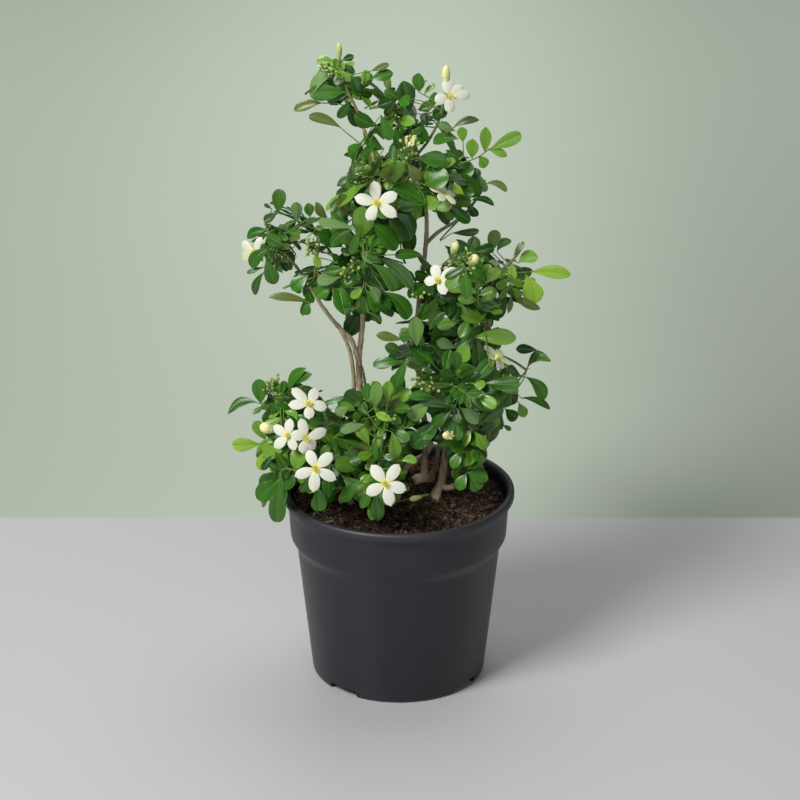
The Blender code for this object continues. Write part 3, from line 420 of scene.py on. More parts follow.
def potSection():  # radius and height, from under the floor, up the outside and down the inside
    foot, ring, under, start = pot["foot"], pot["ring"], pot["floorUnder"], pot["footTop"]
    side, sideZ, band, bandZ = pot["wallTop"], pot["wallTopZ"], pot["bandFoot"], pot["bandFootZ"]
    top, lip, height, wall = pot["bandTop"], pot["lip"], pot["height"], pot["wall"]
    lipRound, lipUnder, inner = pot["lipRound"], pot["lipUnder"], top - wall
    slope = (side - foot) / (sideZ - start)
    base = [(0, under), (ring - 2.0, under), (ring - 0.6, under - 0.4), (ring, 0.4), (ring + 0.6, 0)]
    base += [(foot - 3.4, 0)] + arc((foot - pot["footRound"], pot["footRound"]), pot["footRound"], -90, -4, 6)
    outside = [(foot + slope * (z - start), z) for z in (8, 11, 14, 40, 70, 92, 100)]
    step = [(side - 0.15, sideZ - 1.6), (side + 0.25, sideZ - 0.4), (side + 1.3, sideZ + 1.0),
            (band - 1.2, bandZ - 2.2), (band - 0.35, bandZ - 0.9), (band, bandZ + 0.6)]
    rim = [(band + 0.3, bandZ + 6), (top - 0.3, height - 16), (top, height - 9.2), (top + 0.6, height - 7.9),
           (top + 1.9, height - 7.1), (lip - 1.2, height - 6.8)]
    rim += arc((lip - lipUnder, height - 5.4), lipUnder, -60, 0, 4)[1:] + [(lip, height - 3.6)]
    rim += arc((lip - lipRound, height - lipRound), lipRound, 8, 100, 9) + [(lip - 4.1, height - 0.35)]
    inside = [(inner + 0.9, height - 1.0), (inner + 0.1, height - 2.4), (inner - 0.2, height - 6),
              (band - wall, bandZ + 1.2), (side - wall, sideZ + 0.8), (foot - wall + 0.3, pot["floor"])]
    return base + outside + step + rim + inside + [(0, pot["floor"])]


def latheForm(section, segments):  # a closed form, with the ends of its section on the axis
    bm = bmesh.new()
    verts = [bm.verts.new((r, 0.0, z)) for r, z in section]
    edges = [bm.edges.new(pair) for pair in zip(verts, verts[1:])]
    bmesh.ops.spin(bm, geom=verts + edges, axis=up, cent=(0, 0, 0), angle=math.tau, steps=segments,
                   use_merge=True)
    bmesh.ops.remove_doubles(bm, verts=bm.verts, dist=1e-4)
    bmesh.ops.recalc_face_normals(bm, faces=bm.faces)
    return bm


def notchForm(angle):  # a slot through the foot, with leaning ends
    bm = bmesh.new()
    bmesh.ops.create_cube(bm, size=1.0)
    for vert in bm.verts:
        wide = 2 * pot["notchHalf"] * (1.0 if vert.co.z < 0 else 0.9)
        spot = Vector((pot["foot"] + 1 + vert.co.x * pot["notchDeep"], vert.co.y * wide,
                       vert.co.z * 2 * pot["notchHeight"]))
        spot.rotate(Quaternion(up, angle))
        vert.co = spot
    return bm


def drainForm(angle):  # a round hole through the floor
    bm = bmesh.new()
    bmesh.ops.create_cone(bm, cap_ends=True, segments=32, radius1=pot["drain"], radius2=pot["drain"],
                          depth=pot["drainDeep"])
    way = Vector((math.cos(angle), math.sin(angle), 0))
    bmesh.ops.translate(bm, verts=bm.verts, vec=way * pot["drainAt"] + up * 5)
    return bm


def inMetres(name, bm):  # the form's mesh, as an object
    for vert in bm.verts:
        vert.co *= mm
    mesh = bpy.data.meshes.new(name)
    bm.to_mesh(mesh)
    bm.free()
    return linked(name, mesh)


def cutOut(piece, forms):
    for form in forms:
        cut = piece.modifiers.new("cut", "BOOLEAN")
        cut.operation, cut.object, cut.solver = "DIFFERENCE", inMetres("cutter", form), "EXACT"
    graph = bpy.context.evaluated_depsgraph_get()
    piece.data = bpy.data.meshes.new_from_object(piece.evaluated_get(graph), depsgraph=graph)
    for cut in list(piece.modifiers):
        cutter = cut.object
        piece.modifiers.remove(cut)
        bpy.data.objects.remove(cutter)


def potPaint():  # black plastic, paler where the foot is scuffed, and paler at the lip, where it is scuffed and has a painted highlight
    paint = Paint("potPlastic", Metallic=0.0, Specular_IOR_Level=0.5)
    z = paint.parts(paint.place())[2]
    flow = paint.grain(26.0, 4.0, 0.6, stretch=(1.0, 1.0, 0.25))
    dust = paint.grain(900.0, 3.0, 0.7)
    # the band at the lip, painted paler as a highlight, and scuffed
    lip = z.step(*scaled(pot["lipFrom"], mm))
    scuff = paint.grain(60.0, 6.0, 0.75, stretch=(1.0, 1.0, 3.0), distortion=1.2).step(0.60, 0.78)
    scuff = scuff * (1.0 - z.step(*scaled(pot["scuffedTo"], mm)))
    scuff = scuff + paint.grain(75.0, 6.0, 0.7, distortion=0.8).step(0.62, 0.8) * lip
    colour = paint.mix(flow, pot["colour"], scaled(pot["colour"], 1.22))
    # scuffs and dust are wear; the lip's share is a painted highlight
    wearAndSheen = (scuff * 0.55 + lip * 0.42 + dust.step(0.62, 0.85) * 0.10).held()
    paint.link(Base_Color=paint.mix(wearAndSheen, colour, pot["pale"]),
               Roughness=(pot["roughness"] + flow * 0.08 + scuff * 0.12 + lip * 0.06).held())
    rings = (z * 2600.0).wave() * 0.12
    paint.bump(paint.grain(1500.0, 2.0, 0.5) * 0.5 + flow * 0.6 + rings, 0.22, 0.00012)
    return paint.material


def makePot():
    piece = inMetres("pot_shell", latheForm(potSection(), pot["segments"]))
    angles = [math.radians(degrees) for degrees in pot["notches"]]
    cutOut(piece, [form(angle) for angle in angles for form in (notchForm, drainForm)])
    piece.data.shade_smooth()
    piece.data.set_sharp_from_angle(angle=math.radians(32))
    piece.data.materials.clear()
    piece.data.materials.append(potPaint())
    piece.data.polygons.foreach_set("material_index", [0] * len(piece.data.polygons))
    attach(piece, "root")
    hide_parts("pot")
    print("pot made:", len(piece.data.polygons), "faces")


makePot()


# Potting mix
mix = {
    "top": 137.0, "mound": 2.2, "bump": 1.6, "floor": 6.4, "rings": 62, "segments": 150,
    "crumbs": 2300, "chips": 520, "crumbSize": 1.0, "chipSize": (1.2, 3.2), "chipFlat": 0.35,
    "fibres": 1500, "fibreLength": (2.5, 9.0), "fibreThick": (0.12, 0.34), "fibrePoints": 5,
    "dark": (0.006, 0.004, 0.003), "brown": (0.060, 0.036, 0.022), "fibre": (0.44, 0.29, 0.17),
}
mixEdge = pot["bandTop"] - pot["wall"] - 0.4


def soilHeight(x, y):
    bumps = math.sin(0.11 * x + 1.3) * math.cos(0.13 * y - 0.4) + 0.6 * math.sin(0.21 * y + 0.17 * x)
    mound = mix["mound"] * math.cos(min(math.hypot(x, y) / 80, 1) * math.pi / 2)
    return mix["top"] + mound + mix["bump"] * 0.6 * bumps


def soilSurface(x, y):  # with the lumps of the fine mesh
    spot = Vector((x, y, 0))
    lumps = 2.9 * noise.fractal(spot * 0.11, 1.0, 2.0, 4) + 1.7 * noise.noise(spot * 0.30)
    return soilHeight(x, y) + lumps - 0.7 * max(0.0, math.hypot(x, y) - 74) / 6


def soilPaint():
    paint = Paint("pottingMix", Specular_IOR_Level=0.25)
    tone = paint.attribute("tone")
    coarse = paint.grain(130.0, 5.0, 0.7)
    fine = paint.grain(900.0, 4.0, 0.7)
    damp = (coarse.step(0.40, 0.66) * 0.8 + fine * 0.4 - 0.16).held()
    earth = paint.mix(damp, mix["dark"], mix["brown"])
    strands = paint.grain(420.0, 3.0, 0.6, stretch=(1.0, 0.22, 0.6), distortion=2.0).step(0.60, 0.72)
    earth = paint.mix(strands * 0.45, earth, mix["fibre"])
    straw = paint.mix(fine, mix["brown"], mix["fibre"])
    paint.link(Base_Color=paint.mix(tone, earth, straw),
               Roughness=(0.82 + coarse * 0.15 - tone * 0.15).held())
    paint.bump(coarse * 0.9 + fine * 0.6, 0.9, 0.0012)
    return paint.material


def anyPlace(chance, share):  # a point on the bed, evenly spread, up to this share of its radius
    reach = mixEdge * math.sqrt(chance.random()) * share
    angle = chance.uniform(0, math.tau)
    return reach * math.cos(angle), reach * math.sin(angle)


def makeBed(paint):
    count, wall = mix["segments"], pot["wall"]
    sides = [(pot["foot"] - wall - 0.2, mix["floor"]), (pot["wallTop"] - wall - 0.5, pot["wallTopZ"] + 0.8),
             (pot["bandFoot"] - wall - 0.5, pot["bandFootZ"] + 1.2)]
    rings = sides + [(mixEdge * (1 - k / mix["rings"]) ** 0.92, None) for k in range(mix["rings"])]
    points = []
    for reach, z in rings:
        for k in range(count):
            x, y = reach * math.cos(math.tau * k / count), reach * math.sin(math.tau * k / count)
            points.append((x, y, soilSurface(x, y) if z is None else z))
    last = (len(rings) - 1) * count
    points.append((0, 0, soilSurface(0, 0)))
    faces = ringFaces(len(rings), count) + [tuple(reversed(range(count)))]
    faces += [(last + k, last + (k + 1) % count, len(points) - 1) for k in range(count)]
    heap = Heap()
    heap.add(points, faces, tone=0.0)
    heap.make("mix_bed", [paint], "soil", ["soil"])


def growLump(heap, middle, size, chip, chance):  # a crumb of peat or a flat chip of bark
    corners = vectors(((1, 0, 0), (-1, 0, 0), (0, 1, 0), (0, -1, 0), (0, 0, 1), (0, 0, -1),
                       (.62, .62, .5), (-.62, .6, -.5)))
    axis = Vector([chance.gauss(0, 1) for _ in range(3)]).normalized()
    spin = Quaternion(axis, chance.uniform(0, math.tau))
    long, wide = size * chance.uniform(0.8, 1.5), size * chance.uniform(0.5, 0.8)
    form = Vector((long, wide, mix["chipFlat"] * size if chip else size * chance.uniform(0.5, 0.8)))
    bm = bmesh.new()
    for corner in corners:
        bm.verts.new(middle + spin @ (corner * form) * chance.uniform(0.8, 1.15))
    bmesh.ops.convex_hull(bm, input=bm.verts)
    kept = [vert for vert in bm.verts if vert.link_faces]
    index = {vert: k for k, vert in enumerate(kept)}
    faces = [tuple(index[vert] for vert in face.verts) for face in bm.faces]
    heap.add([vert.co.copy() for vert in kept], faces,
             tone=chance.uniform(0.15, 0.75) if chip else max(0.0, chance.gauss(0.02, 0.26)))
    bm.free()


def makeCrumbs(paint, chance):
    heap = Heap()
    for i in range(mix["crumbs"] + mix["chips"]):
        x, y = anyPlace(chance, 0.985)
        chip = i >= mix["crumbs"]
        size = chance.uniform(*mix["chipSize"]) if chip else abs(chance.gauss(0, mix["crumbSize"])) + 0.6
        growLump(heap, Vector((x, y, soilSurface(x, y) + size * 0.25)), size, chip, chance)
    heap.make("mix_crumbs", [paint], "soil", sharp=40)
    return len(heap.faces)


def makeFibres(paint, chance):
    heap, count = Heap(), mix["fibrePoints"]
    for _ in range(mix["fibres"]):
        x, y = anyPlace(chance, 0.96)
        heading, length = chance.uniform(0, math.tau), chance.uniform(*mix["fibreLength"])
        curve, path = chance.uniform(-0.5, 0.5), []
        for k in range(count):
            if math.hypot(x, y) > mixEdge - 1.2:
                break
            lift = 0.35 + 0.9 * math.sin(math.pi * k / (count - 1)) * chance.random()
            path.append(Vector((x, y, soilSurface(x, y) + lift)))
            x += length / (count - 1) * math.cos(heading)
            y += length / (count - 1) * math.sin(heading)
            heading += curve
        if len(path) > 2:
            thick = chance.uniform(*mix["fibreThick"])
            radii = [thick] * (len(path) - 1) + [thick * 0.4]
            tube(heap, path, radii, 3, tone=chance.uniform(0.15, 1.0) ** 1.5)
    heap.make("mix_fibres", [paint], "soil")
    return len(heap.faces)


def makeSoil():
    paint, chance = soilPaint(), random.Random(41)
    makeBed(paint)
    crumbs, fibres = makeCrumbs(paint, chance), makeFibres(paint, chance)
    print("potting mix made:", crumbs, "faces of crumbs,", fibres, "of fibres")


makeSoil()


# Woody stems
# Each limb: its path, the radius at its foot and its tip, and whether its end is a cut face.
limbs = {
    "stem_left": [
        ([(-24, 15, 117), (-24, 15, 139), (-26, 12, 172), (-28, 5, 219), (-29, 2, 247), (-26, 0, 280),
          (-25, 2, 307), (-23, 5, 333), (-19, 5, 360), (-16, 0, 388), (-19, -3, 411), (-25, -5, 428)],
          2.7, 1.15, False),
        ([(-29, 2, 246), (-34, -4, 266), (-42, -6, 276), (-51, -8, 288), (-58, -8, 299), (-67, -8, 315),
          (-76, -8, 328)],
         1.9, 1.1, False),
        ([(-28.6, 14, 117), (-28.6, 14, 139), (-30.6, 11, 172), (-32.6, 4, 219), (-33.2, 0, 240),
          (-36, -4.5, 260), (-42, -6, 275)], 2.1, 1.3, False),
    ],
    "stem_right": [
        ([(19, 28, 117), (19, 28, 139), (20, 25, 183), (16, 20, 217), (14, 15, 259), (15, 10, 292),
          (18, 5, 319), (20, 0, 344), (20, 0, 364), (18, 0, 388), (12, 5, 408), (7, 9, 423)],
          2.6, 1.1, False),
        ([(19, 2, 338), (29, -1, 349), (40, 2, 355), (49, 4, 362)], 1.5, 1.05, False),
        ([(25, 26, 138), (22, 26, 142.5), (16, 24, 143.5), (11, 22, 142.5)], 3.7, 3.5, True),
        ([(22, 26, 141), (27, 24, 150), (29, 22, 163), (32, 20, 180), (34, 18, 196)], 2.7, 1.2, False),
        ([(15.5, 18, 219), (9, 10, 217), (3, 3, 213), (0, 0, 211)], 1.9, 1.5, True),
    ],
    "stem_low_right": [
        ([(27, -4, 117), (27, -4, 139), (32, -4, 155), (35, -5, 177), (39, -6, 196), (45, -8, 217),
          (52, -8, 237), (59, -8, 256), (65, -8, 276), (68, -8, 299), (67, -10, 313)], 3.3, 1.05, False),
        ([(30.5, -4, 150), (36, -7, 150), (41, -9, 152)], 2.2, 2.0, True),
    ],
    "stem_low_left": [
        ([(-35, -14, 117), (-35, -14, 139), (-45, -16, 160), (-56, -20, 182), (-68, -22, 203),
          (-78, -19, 216)],
         2.1, 1.15, False),
    ],
    "stem_back": [
        ([(3, 44, 117), (3, 44, 139), (11, 43, 149), (22, 41, 158), (27, 40, 180), (33, 39, 207),
          (41, 37, 234)],
         2.9, 1.2, False),
        ([(3, 44, 139), (-12, 47, 163), (-22, 46, 196), (-27, 43, 224)], 2.0, 1.1, False),
    ],
}
bark = {
    "sides": 16, "step": 1.9, "rough": 0.16, "nodeEvery": 17.0, "nodeSize": 0.16, "nodeHalf": 1.5,
    "flare": 0.55, "flareTall": 11.0, "soilAt": 137.5, "cutSides": 20,
    "brown": (0.36, 0.28, 0.175), "buff": (0.66, 0.545, 0.37), "grey": (0.55, 0.50, 0.39),
    "crack": (0.085, 0.06, 0.036), "green": (0.19, 0.22, 0.075), "cut": (0.62, 0.47, 0.29),
}


def barkPaint():
    paint = Paint("bark", Specular_IOR_Level=0.3)
    thick, cut = paint.attribute("thick"), paint.attribute("cut")
    long = paint.grain(230.0, 5.0, 0.7, stretch=(1.0, 1.0, 0.16), distortion=0.6)
    patch = paint.grain(70.0, 4.0, 0.6, stretch=(1.0, 1.0, 0.45))
    lenticel = 1.0 - paint.spots(520.0, stretch=(1.0, 1.0, 0.5)).step(0.10, 0.22)
    crack = long.step(0.56, 0.66)
    young = (1.0 - thick.step(1.05, 1.7)) * 0.75
    colour = paint.mix(patch.step(0.38, 0.62), bark["brown"], bark["buff"])
    colour = paint.mix(paint.grain(120.0, 4.0, 0.7).step(0.52, 0.70) * 0.7, colour, bark["grey"])
    colour = paint.mix(crack * 0.75 * thick.step(0.9, 2.0), colour, bark["crack"])
    colour = paint.mix(lenticel * 0.5, colour, bark["buff"])
    colour = paint.mix(young, colour, bark["green"])
    paint.link(Base_Color=paint.mix(cut, colour, bark["cut"]),
               Roughness=(0.72 + long * 0.2 - young * 0.2).held())
    paint.bump((1.0 - crack) * 0.9 + patch * 0.6 + lenticel * 0.3, 0.8, 0.0005)
    return paint.material


def limbRadii(path, radii, rooted, chance):  # swollen at its nodes, and flared where it leaves the soil
    run, nodeAt, found = 0.0, chance.uniform(8, 16), []
    for i, centre in enumerate(path):
        run += (centre - path[i - 1]).length if i else 0.0
        knot = bark["nodeSize"] * math.exp(-((run - nodeAt) / bark["nodeHalf"]) ** 2)
        if run > nodeAt + 4:
            nodeAt += bark["nodeEvery"] * chance.uniform(0.6, 1.4)
        above = max(0.0, centre.z - bark["soilAt"])
        flare = bark["flare"] * math.exp(-above / bark["flareTall"]) if rooted else 0.0
        found.append(radii[i] * (1 + knot + flare))
    return found


def growCutFace(heap, end, ahead, radius):  # the sawn end of a limb
    side, count = across(ahead), bark["cutSides"]
    other = ahead.cross(side)
    rings = [point for share, lift in ((1.0, -0.1), (0.98, 0.12), (0.6, 0.2), (0.2, 0.16))
             for point in ringPoints(end + ahead * lift, side, other, radius * share, count)]
    middle = tuple(range(3 * count, 4 * count))
    heap.add(rings, ringFaces(4, count) + [middle], thick=3.0, cut=np.repeat([0.2, 1, 1, 0.7], count))


def growLimb(heap, points, foot, tip, cut, chance):
    count = len(points) - 1
    radii = [foot + (tip - foot) * (i / count) ** 0.8 for i in range(count + 1)]
    path, radii = smoothPath(points, radii, bark["step"])
    radii = limbRadii(path, radii, points[0][2] < 120, chance)
    tube(heap, path, radii, bark["sides"], rough=bark["rough"], scale=0.30,
         thick=np.repeat(radii, bark["sides"]), cut=0.0)
    if cut:
        growCutFace(heap, path[-1], (path[-1] - path[-2]).normalized(), radii[-1])


def makeWood():
    skin = barkPaint()
    for name, parts in limbs.items():
        chance, heap = random.Random(name), Heap()
        for limb in parts:
            growLimb(heap, *limb, chance)
        heap.make(name.replace("stem", "wood"), [skin], "bark", [name])
    print("woody stems made")


makeWood()


# Flowers: five petals on a short tube, with the throat yellow.
petal = {
    "along": (.10, .18, .28, .40, .53, .66, .78, .88, .95, 1.0), "over": (-1, -.7, -.35, 0, .35, .7, 1),
    "wide": (.34, .47, .70, .90, 1.0, .99, .90, .71, .46, .15),
    "drawnIn": (0, 0, 0, 0, 0, 0, .06, .12, .16, .07),
    "width": 7.8, "thick": 0.13, "edge": 0.2, "even": 13.4, "reach": (11.0, 17.2), "deep": 4.2, "ring": 20,
    "rise": 0.30, "fall": 0.36, "hollow": 0.028, "ripple": 0.14,
    # Rings of the tube and the cup: the radius, the height over the middle, and the share along a petal
    "tube": ((1.05, -4.2, 0.0), (1.15, -3.0, 0.0), (1.25, -1.4, 0.02), (1.6, -0.2, 0.05), (2.1, 0.45, 0.1),
             (2.45, 0.70, 0.15)),
    "cup": ((2.4, 0.78, 0.12), (1.6, 0.55, 0.08), (0.9, -0.2, 0.04), (0.2, -1.0, 0.0)),
    "white": (0.69, 0.695, 0.60), "shade": (0.53, 0.545, 0.44), "yellow": (0.82, 0.73, 0.20),
    "lime": (0.52, 0.60, 0.16),
    "cream": {"flower_4": (0.1, 0.9, 0.8, 0.4, 0.2), "flower_10": (0.75, 0.6), "flower_11": (0.6, 0.4)},
}

# Leaves are odd-pinnate, with small glossy leaflets that are widest past their middle.
# Where each pair of leaflets joins the rib, its length and width, as shares of the length, and its angle.
leafForms = {
    3: {"pairs": ((0.27, 0.44, 0.22, 55.0),), "end": (0.50, 0.27)},
    5: {"pairs": ((0.13, 0.27, 0.15, 64.0), (0.31, 0.42, 0.21, 55.0)), "end": (0.53, 0.255)},
    7: {"pairs": ((0.11, 0.25, 0.14, 68.0), (0.25, 0.34, 0.175, 62.0), (0.41, 0.38, 0.19, 53.0)),
        "end": (0.58, 0.225)},
}
leaf = {
    "along": (0, .07, .18, .33, .49, .64, .78, .89, .965, 1.0), "over": (-1, -.68, -.32, 0, .32, .68, 1),
    "drawnOut": (.07, .17, .41, .72, .94, 1.0, .86, .58, .27, .05),
    "rounded": (.07, .14, .34, .63, .87, 1.0, .99, .83, .53, .18),
    "thick": 0.11, "edge": 0.15, "cup": 0.42, "curl": 0.62, "ripple": 0.9, "stagger": 0.018, "spotted": 0.05,
    "ribRadius": 0.42, "ribEnd": 0.22, "ribSteps": 7,
    "twigFoot": 1.1, "shootFoot": 1.5, "sideFoot": 0.95, "twigEnd": 0.8, "twigSides": 9,
    "deep": (0.002, 0.028, 0.0006), "green": (0.036, 0.163, 0.005), "fresh": (0.138, 0.300, 0.026),
    "young": (0.22, 0.40, 0.030), "under": (0.100, 0.190, 0.055), "vein": (0.12, 0.24, 0.050),
    "brown": (0.13, 0.085, 0.03), "olive": (0.105, 0.115, 0.028),
    "twigWood": (0.26, 0.19, 0.105), "twigGreen": (0.115, 0.21, 0.035),
    "budGreen": (0.10, 0.24, 0.03), "budTip": (0.36, 0.50, 0.10), "budPale": (0.62, 0.66, 0.26),
}


def ribFrame(made, s):  # the rib's point, direction and upper normal at s along its arc
    bend = made["droop"] / made["length"]
    angle, ahead, normal = bend * s, made["ahead"], made["normal"]
    along = ahead * (math.sin(angle) / bend) - normal * ((1 - math.cos(angle)) / bend)
    return (made["base"] + along, ahead * math.cos(angle) - normal * math.sin(angle),
            normal * math.cos(angle) + ahead * math.sin(angle))


def leafletList(made, chance):  # root, direction, normal, length, width, bend, twist and sway of each leaflet
    form, length, found = leafForms[made["count"]], made["length"], []
    for start, long, wide, sweep in form["pairs"]:
        for sign in (1, -1):
            s = (start + leaf["stagger"] * sign + chance.uniform(-0.012, 0.012)) * length
            root, ahead, normal = ribFrame(made, s)
            side = normal.cross(ahead) * sign
            angle = math.radians(sweep + chance.uniform(-9, 9))
            lift = made["fold"] + chance.uniform(-0.12, 0.12)
            out = side * math.cos(lift) + normal * math.sin(lift)
            way = (ahead * math.cos(angle) + out * math.sin(angle)).normalized()
            top = (normal - side * math.sin(lift)).normalized()
            top = turned(square(top, way), way, chance.uniform(-0.28, 0.28))
            size = chance.uniform(0.92, 1.08)
            bend, twist = chance.uniform(0.15, 0.7), chance.uniform(-0.25, 0.25)
            sway = chance.uniform(-0.8, 0.8)
            found.append((root + side * 0.3, way, top, long * length * size, wide * length * size,
                          bend, twist, sway))
    start, wide = form["end"]
    root, ahead, normal = ribFrame(made, start * length)
    top = turned(normal, ahead, chance.uniform(-0.25, 0.25))
    bend = made["droop"] * (1 - start) + chance.uniform(-0.1, 0.25)
    twist, sway = chance.uniform(-0.2, 0.2), chance.uniform(-1, 1)
    found.append((root, ahead, top, (1 - start) * length, wide * length, bend, twist, sway))
    return found


# Wedge-shaped at the foot, widest past the middle, with a blunt or a slightly drawn-out tip.
def leafletWidth(u, blunt):
    drawnOut, rounded = (np.interp(u, leaf["along"], leaf[key]) for key in ("drawnOut", "rounded"))
    return drawnOut + (rounded - drawnOut) * blunt


# Points and normals over the grid of shares, with the distances along and across.
def leafletGrid(leaflet, phase, blunt):
    root, way, top, length, width, bend, twist, sway = leaflet
    bend = bend if abs(bend) > 1e-3 else 1e-3
    u, v = np.meshgrid(np.array(leaf["along"], float), np.array(leaf["over"], float), indexing="ij")
    way, top = np.array(way), np.array(top)
    side = np.cross(top, way)
    angle, turn = (bend * u)[..., None], (twist * u)[..., None]
    centre = np.array(root) + length * (way * np.sin(angle) - top * (1 - np.cos(angle))) / bend
    centre = centre + side * (4 * sway * u * (1 - u))[..., None]
    above = top * np.cos(angle) + way * np.sin(angle)
    out, above = side * np.cos(turn) + above * np.sin(turn), above * np.cos(turn) - side * np.sin(turn)
    half = width / 2 * leafletWidth(u, blunt)
    y = half * v
    lift = leaf["cup"] * (np.sqrt(y * y + 0.05) - 0.22) - leaf["curl"] / width * y * y
    lift = lift + leaf["ripple"] * np.sin(8 * u + phase + (v > 0) * 1.7) * v * v * half / 12
    slope = leaf["cup"] * y / np.sqrt(y * y + 0.05) - 2 * leaf["curl"] / width * y
    points = centre + out * y[..., None] + above * lift[..., None]
    normals = above - out * slope[..., None]
    return points, normals / np.linalg.norm(normals, axis=-1, keepdims=True), u * length, y, half


def leafletPoints(leaflet):
    return leafletGrid(leaflet, 0, 0.5)[0].reshape(-1, 3)


def thinEdge(rows, columns, share):  # how thick a blade is over its grid: thin at its sides and its tip
    edge = np.ones((rows, columns, 1))
    edge[:, (0, -1)] = share
    edge[-1] = share
    return edge


def growLeaflet(heap, leaflet, tone, chance, olive=0.0, pale=0.0):
    points, normals, run, off, half = leafletGrid(leaflet, chance.uniform(0, 6), chance.random() ** 1.4)
    rows, columns = points.shape[:2]
    edge, hue = thinEdge(rows, columns, leaf["edge"]), chance.random()
    blotch = float(chance.random() < leaf["spotted"])
    rim = (np.abs(off) / np.maximum(half, 0.01)).ravel() ** 2
    # pale: how much of the under side's colour the top side takes, a painted highlight on leaflets drawn
    # light
    for sign, under in ((1, pale), (-1, 1.0)):
        layer = (points + normals * edge * leaf["thick"] * sign).reshape(-1, 3)
        heap.add(layer, gridFaces(rows, columns, flip=sign > 0), 1, run=run.ravel(), off=off.ravel(), rim=rim,
                 under=under, tone=tone, hue=hue, blotch=blotch, olive=olive)


def growLeaf(heap, made, seed, tone, olive=0.0):
    chance, steps = random.Random(seed + 1), leaf["ribSteps"]
    stop = leafForms[made["count"]]["end"][0] * made["length"] + 1.5
    frames = [ribFrame(made, stop * k / steps) for k in range(steps + 1)]
    radii = [leaf["ribRadius"] + (leaf["ribEnd"] - leaf["ribRadius"]) * k / steps + 0.25 * math.exp(-k * 2)
             for k in range(steps + 1)]
    tube(heap, [spot - top * 0.12 for spot, _, top in frames], radii, 5, thick=0.5, tone=0.55 + 0.4 * tone)
    for leaflet in leafletList(made, random.Random(seed)):
        growLeaflet(heap, leaflet, min(1.0, max(0.0, tone + chance.uniform(-0.10, 0.10))), chance, olive)


def leafPaint():
    paint = Paint("leafSkin", Specular_IOR_Level=0.42)
    names = ("run", "off", "under", "tone", "hue", "rim", "blotch", "olive")
    run, off, under, tone, hue, rim, blotch, olive = (paint.attribute(name) for name in names)
    away = off.size()
    midrib = 1.0 - away.step(0.12, 0.42)
    lateral = (((run - away * 0.85) * 2.35).wave()).step(0.84, 1.0) * (1.0 - rim) * away.step(0.3, 1.0)
    cloud, fine = paint.grain(85.0, 3.0), paint.grain(700.0, 3.0, 0.6)
    colour = paint.mix((hue * 0.75 + cloud * 0.5 - 0.12).held(), leaf["deep"], leaf["green"])
    colour = paint.mix(tone.step(0.10, 0.45), colour, leaf["fresh"])
    colour = paint.mix(tone.step(0.50, 0.95), colour, leaf["young"])
    colour = paint.mix(olive * 0.8, colour, leaf["olive"])
    colour = paint.mix(fine.step(0.55, 0.8) * 0.25, colour, leaf["green"])
    colour = paint.mix((midrib * 0.50 + lateral * 0.16).held(), colour, leaf["vein"])
    below = paint.mix(hue * 0.5 + tone * 0.4, leaf["under"], scaled(leaf["under"], 1.25))
    below = paint.mix((midrib * 0.6 + lateral * 0.25).held(), below, scaled(leaf["under"], 1.5))
    # under: the under side's colour; on leaflets drawn light it also paints the top side paler, as a painted
    # highlight
    colour = paint.mix(under, colour, below)
    brown = (blotch * paint.grain(160.0, 4.0).step(0.5, 0.62) * rim.step(0.2, 0.9)).held()
    colour = paint.mix(brown * 0.8, colour, leaf["brown"])
    paint.link(Base_Color=colour, Roughness=(0.25 + fine * 0.14 + under * 0.30 + brown * 0.3).held())
    relief = (midrib * -0.9 - lateral * 0.35) * (1.0 - under * 2.0) + fine * 0.12
    paint.bump(relief, 0.55, 0.0003)
    return paint.material


def twigPaint():
    paint = Paint("greenTwig", Specular_IOR_Level=0.4)
    thick, tone = paint.attribute("thick"), paint.attribute("tone")
    streak = paint.grain(500.0, 3.0, 0.6, stretch=(1.0, 1.0, 0.3))
    woody = (thick.step(0.75, 1.15) * 0.8 + streak * 0.3 - 0.1).held()
    colour = paint.mix(woody, leaf["twigGreen"], leaf["twigWood"])
    colour = paint.mix(tone.step(0.4, 1.0) * 0.8, colour, leaf["vein"])
    paint.link(Base_Color=colour, Roughness=(0.48 + streak * 0.2).held())
    paint.bump(streak, 0.4, 0.0002)
    return paint.material


def budPaint():
    paint = Paint("greenBud", Roughness=0.42, Specular_IOR_Level=0.5)
    tone, along = paint.attribute("tone"), paint.attribute("along")
    speck = paint.grain(1300.0, 3.0, 0.6)
    colour = paint.mix((along * 0.7 + speck * 0.4 - 0.1).held(), leaf["budGreen"], leaf["budTip"])
    paint.link(Base_Color=paint.mix(tone * 0.6, colour, leaf["budPale"]), Roughness=0.36 + speck * 0.15)
    paint.bump(speck, 0.3, 0.0002)
    return paint.material


def growTwig(heap, points, foot, tip):
    last, sides = len(points) - 1, leaf["twigSides"]
    path, radii = smoothPath(points, [foot + (tip - foot) * (i / last) ** 0.8 for i in range(last + 1)], 2.0)
    radii = [r * (1 + 0.10 * math.sin(i * 1.3) ** 8) for i, r in enumerate(radii)]
    tube(heap, path, radii, sides, rough=0.08, scale=0.5, thick=np.repeat(radii, sides), tone=0.0)


def growSepal(heap, end, ahead, way):  # at the end of a stalk, from its axis in this direction
    wide = ahead.cross(way) * 0.62
    foot, middle = end - ahead * 0.7 + way * 1.05, ahead * 0.9 + way * 0.42
    spots = [foot - wide, foot + wide, foot + middle + wide * 0.8, foot + ahead * 1.9 + way * 0.5,
             foot + middle - wide * 0.8, foot - way * 0.5, foot + ahead * 0.8 - way * 0.1]
    faces = [(0, 1, 2, 4), (4, 2, 3), (1, 0, 5), (2, 1, 5, 6), (3, 2, 6), (4, 3, 6), (0, 4, 6, 5)]
    heap.add(spots, faces, thick=0.5, tone=0.4)


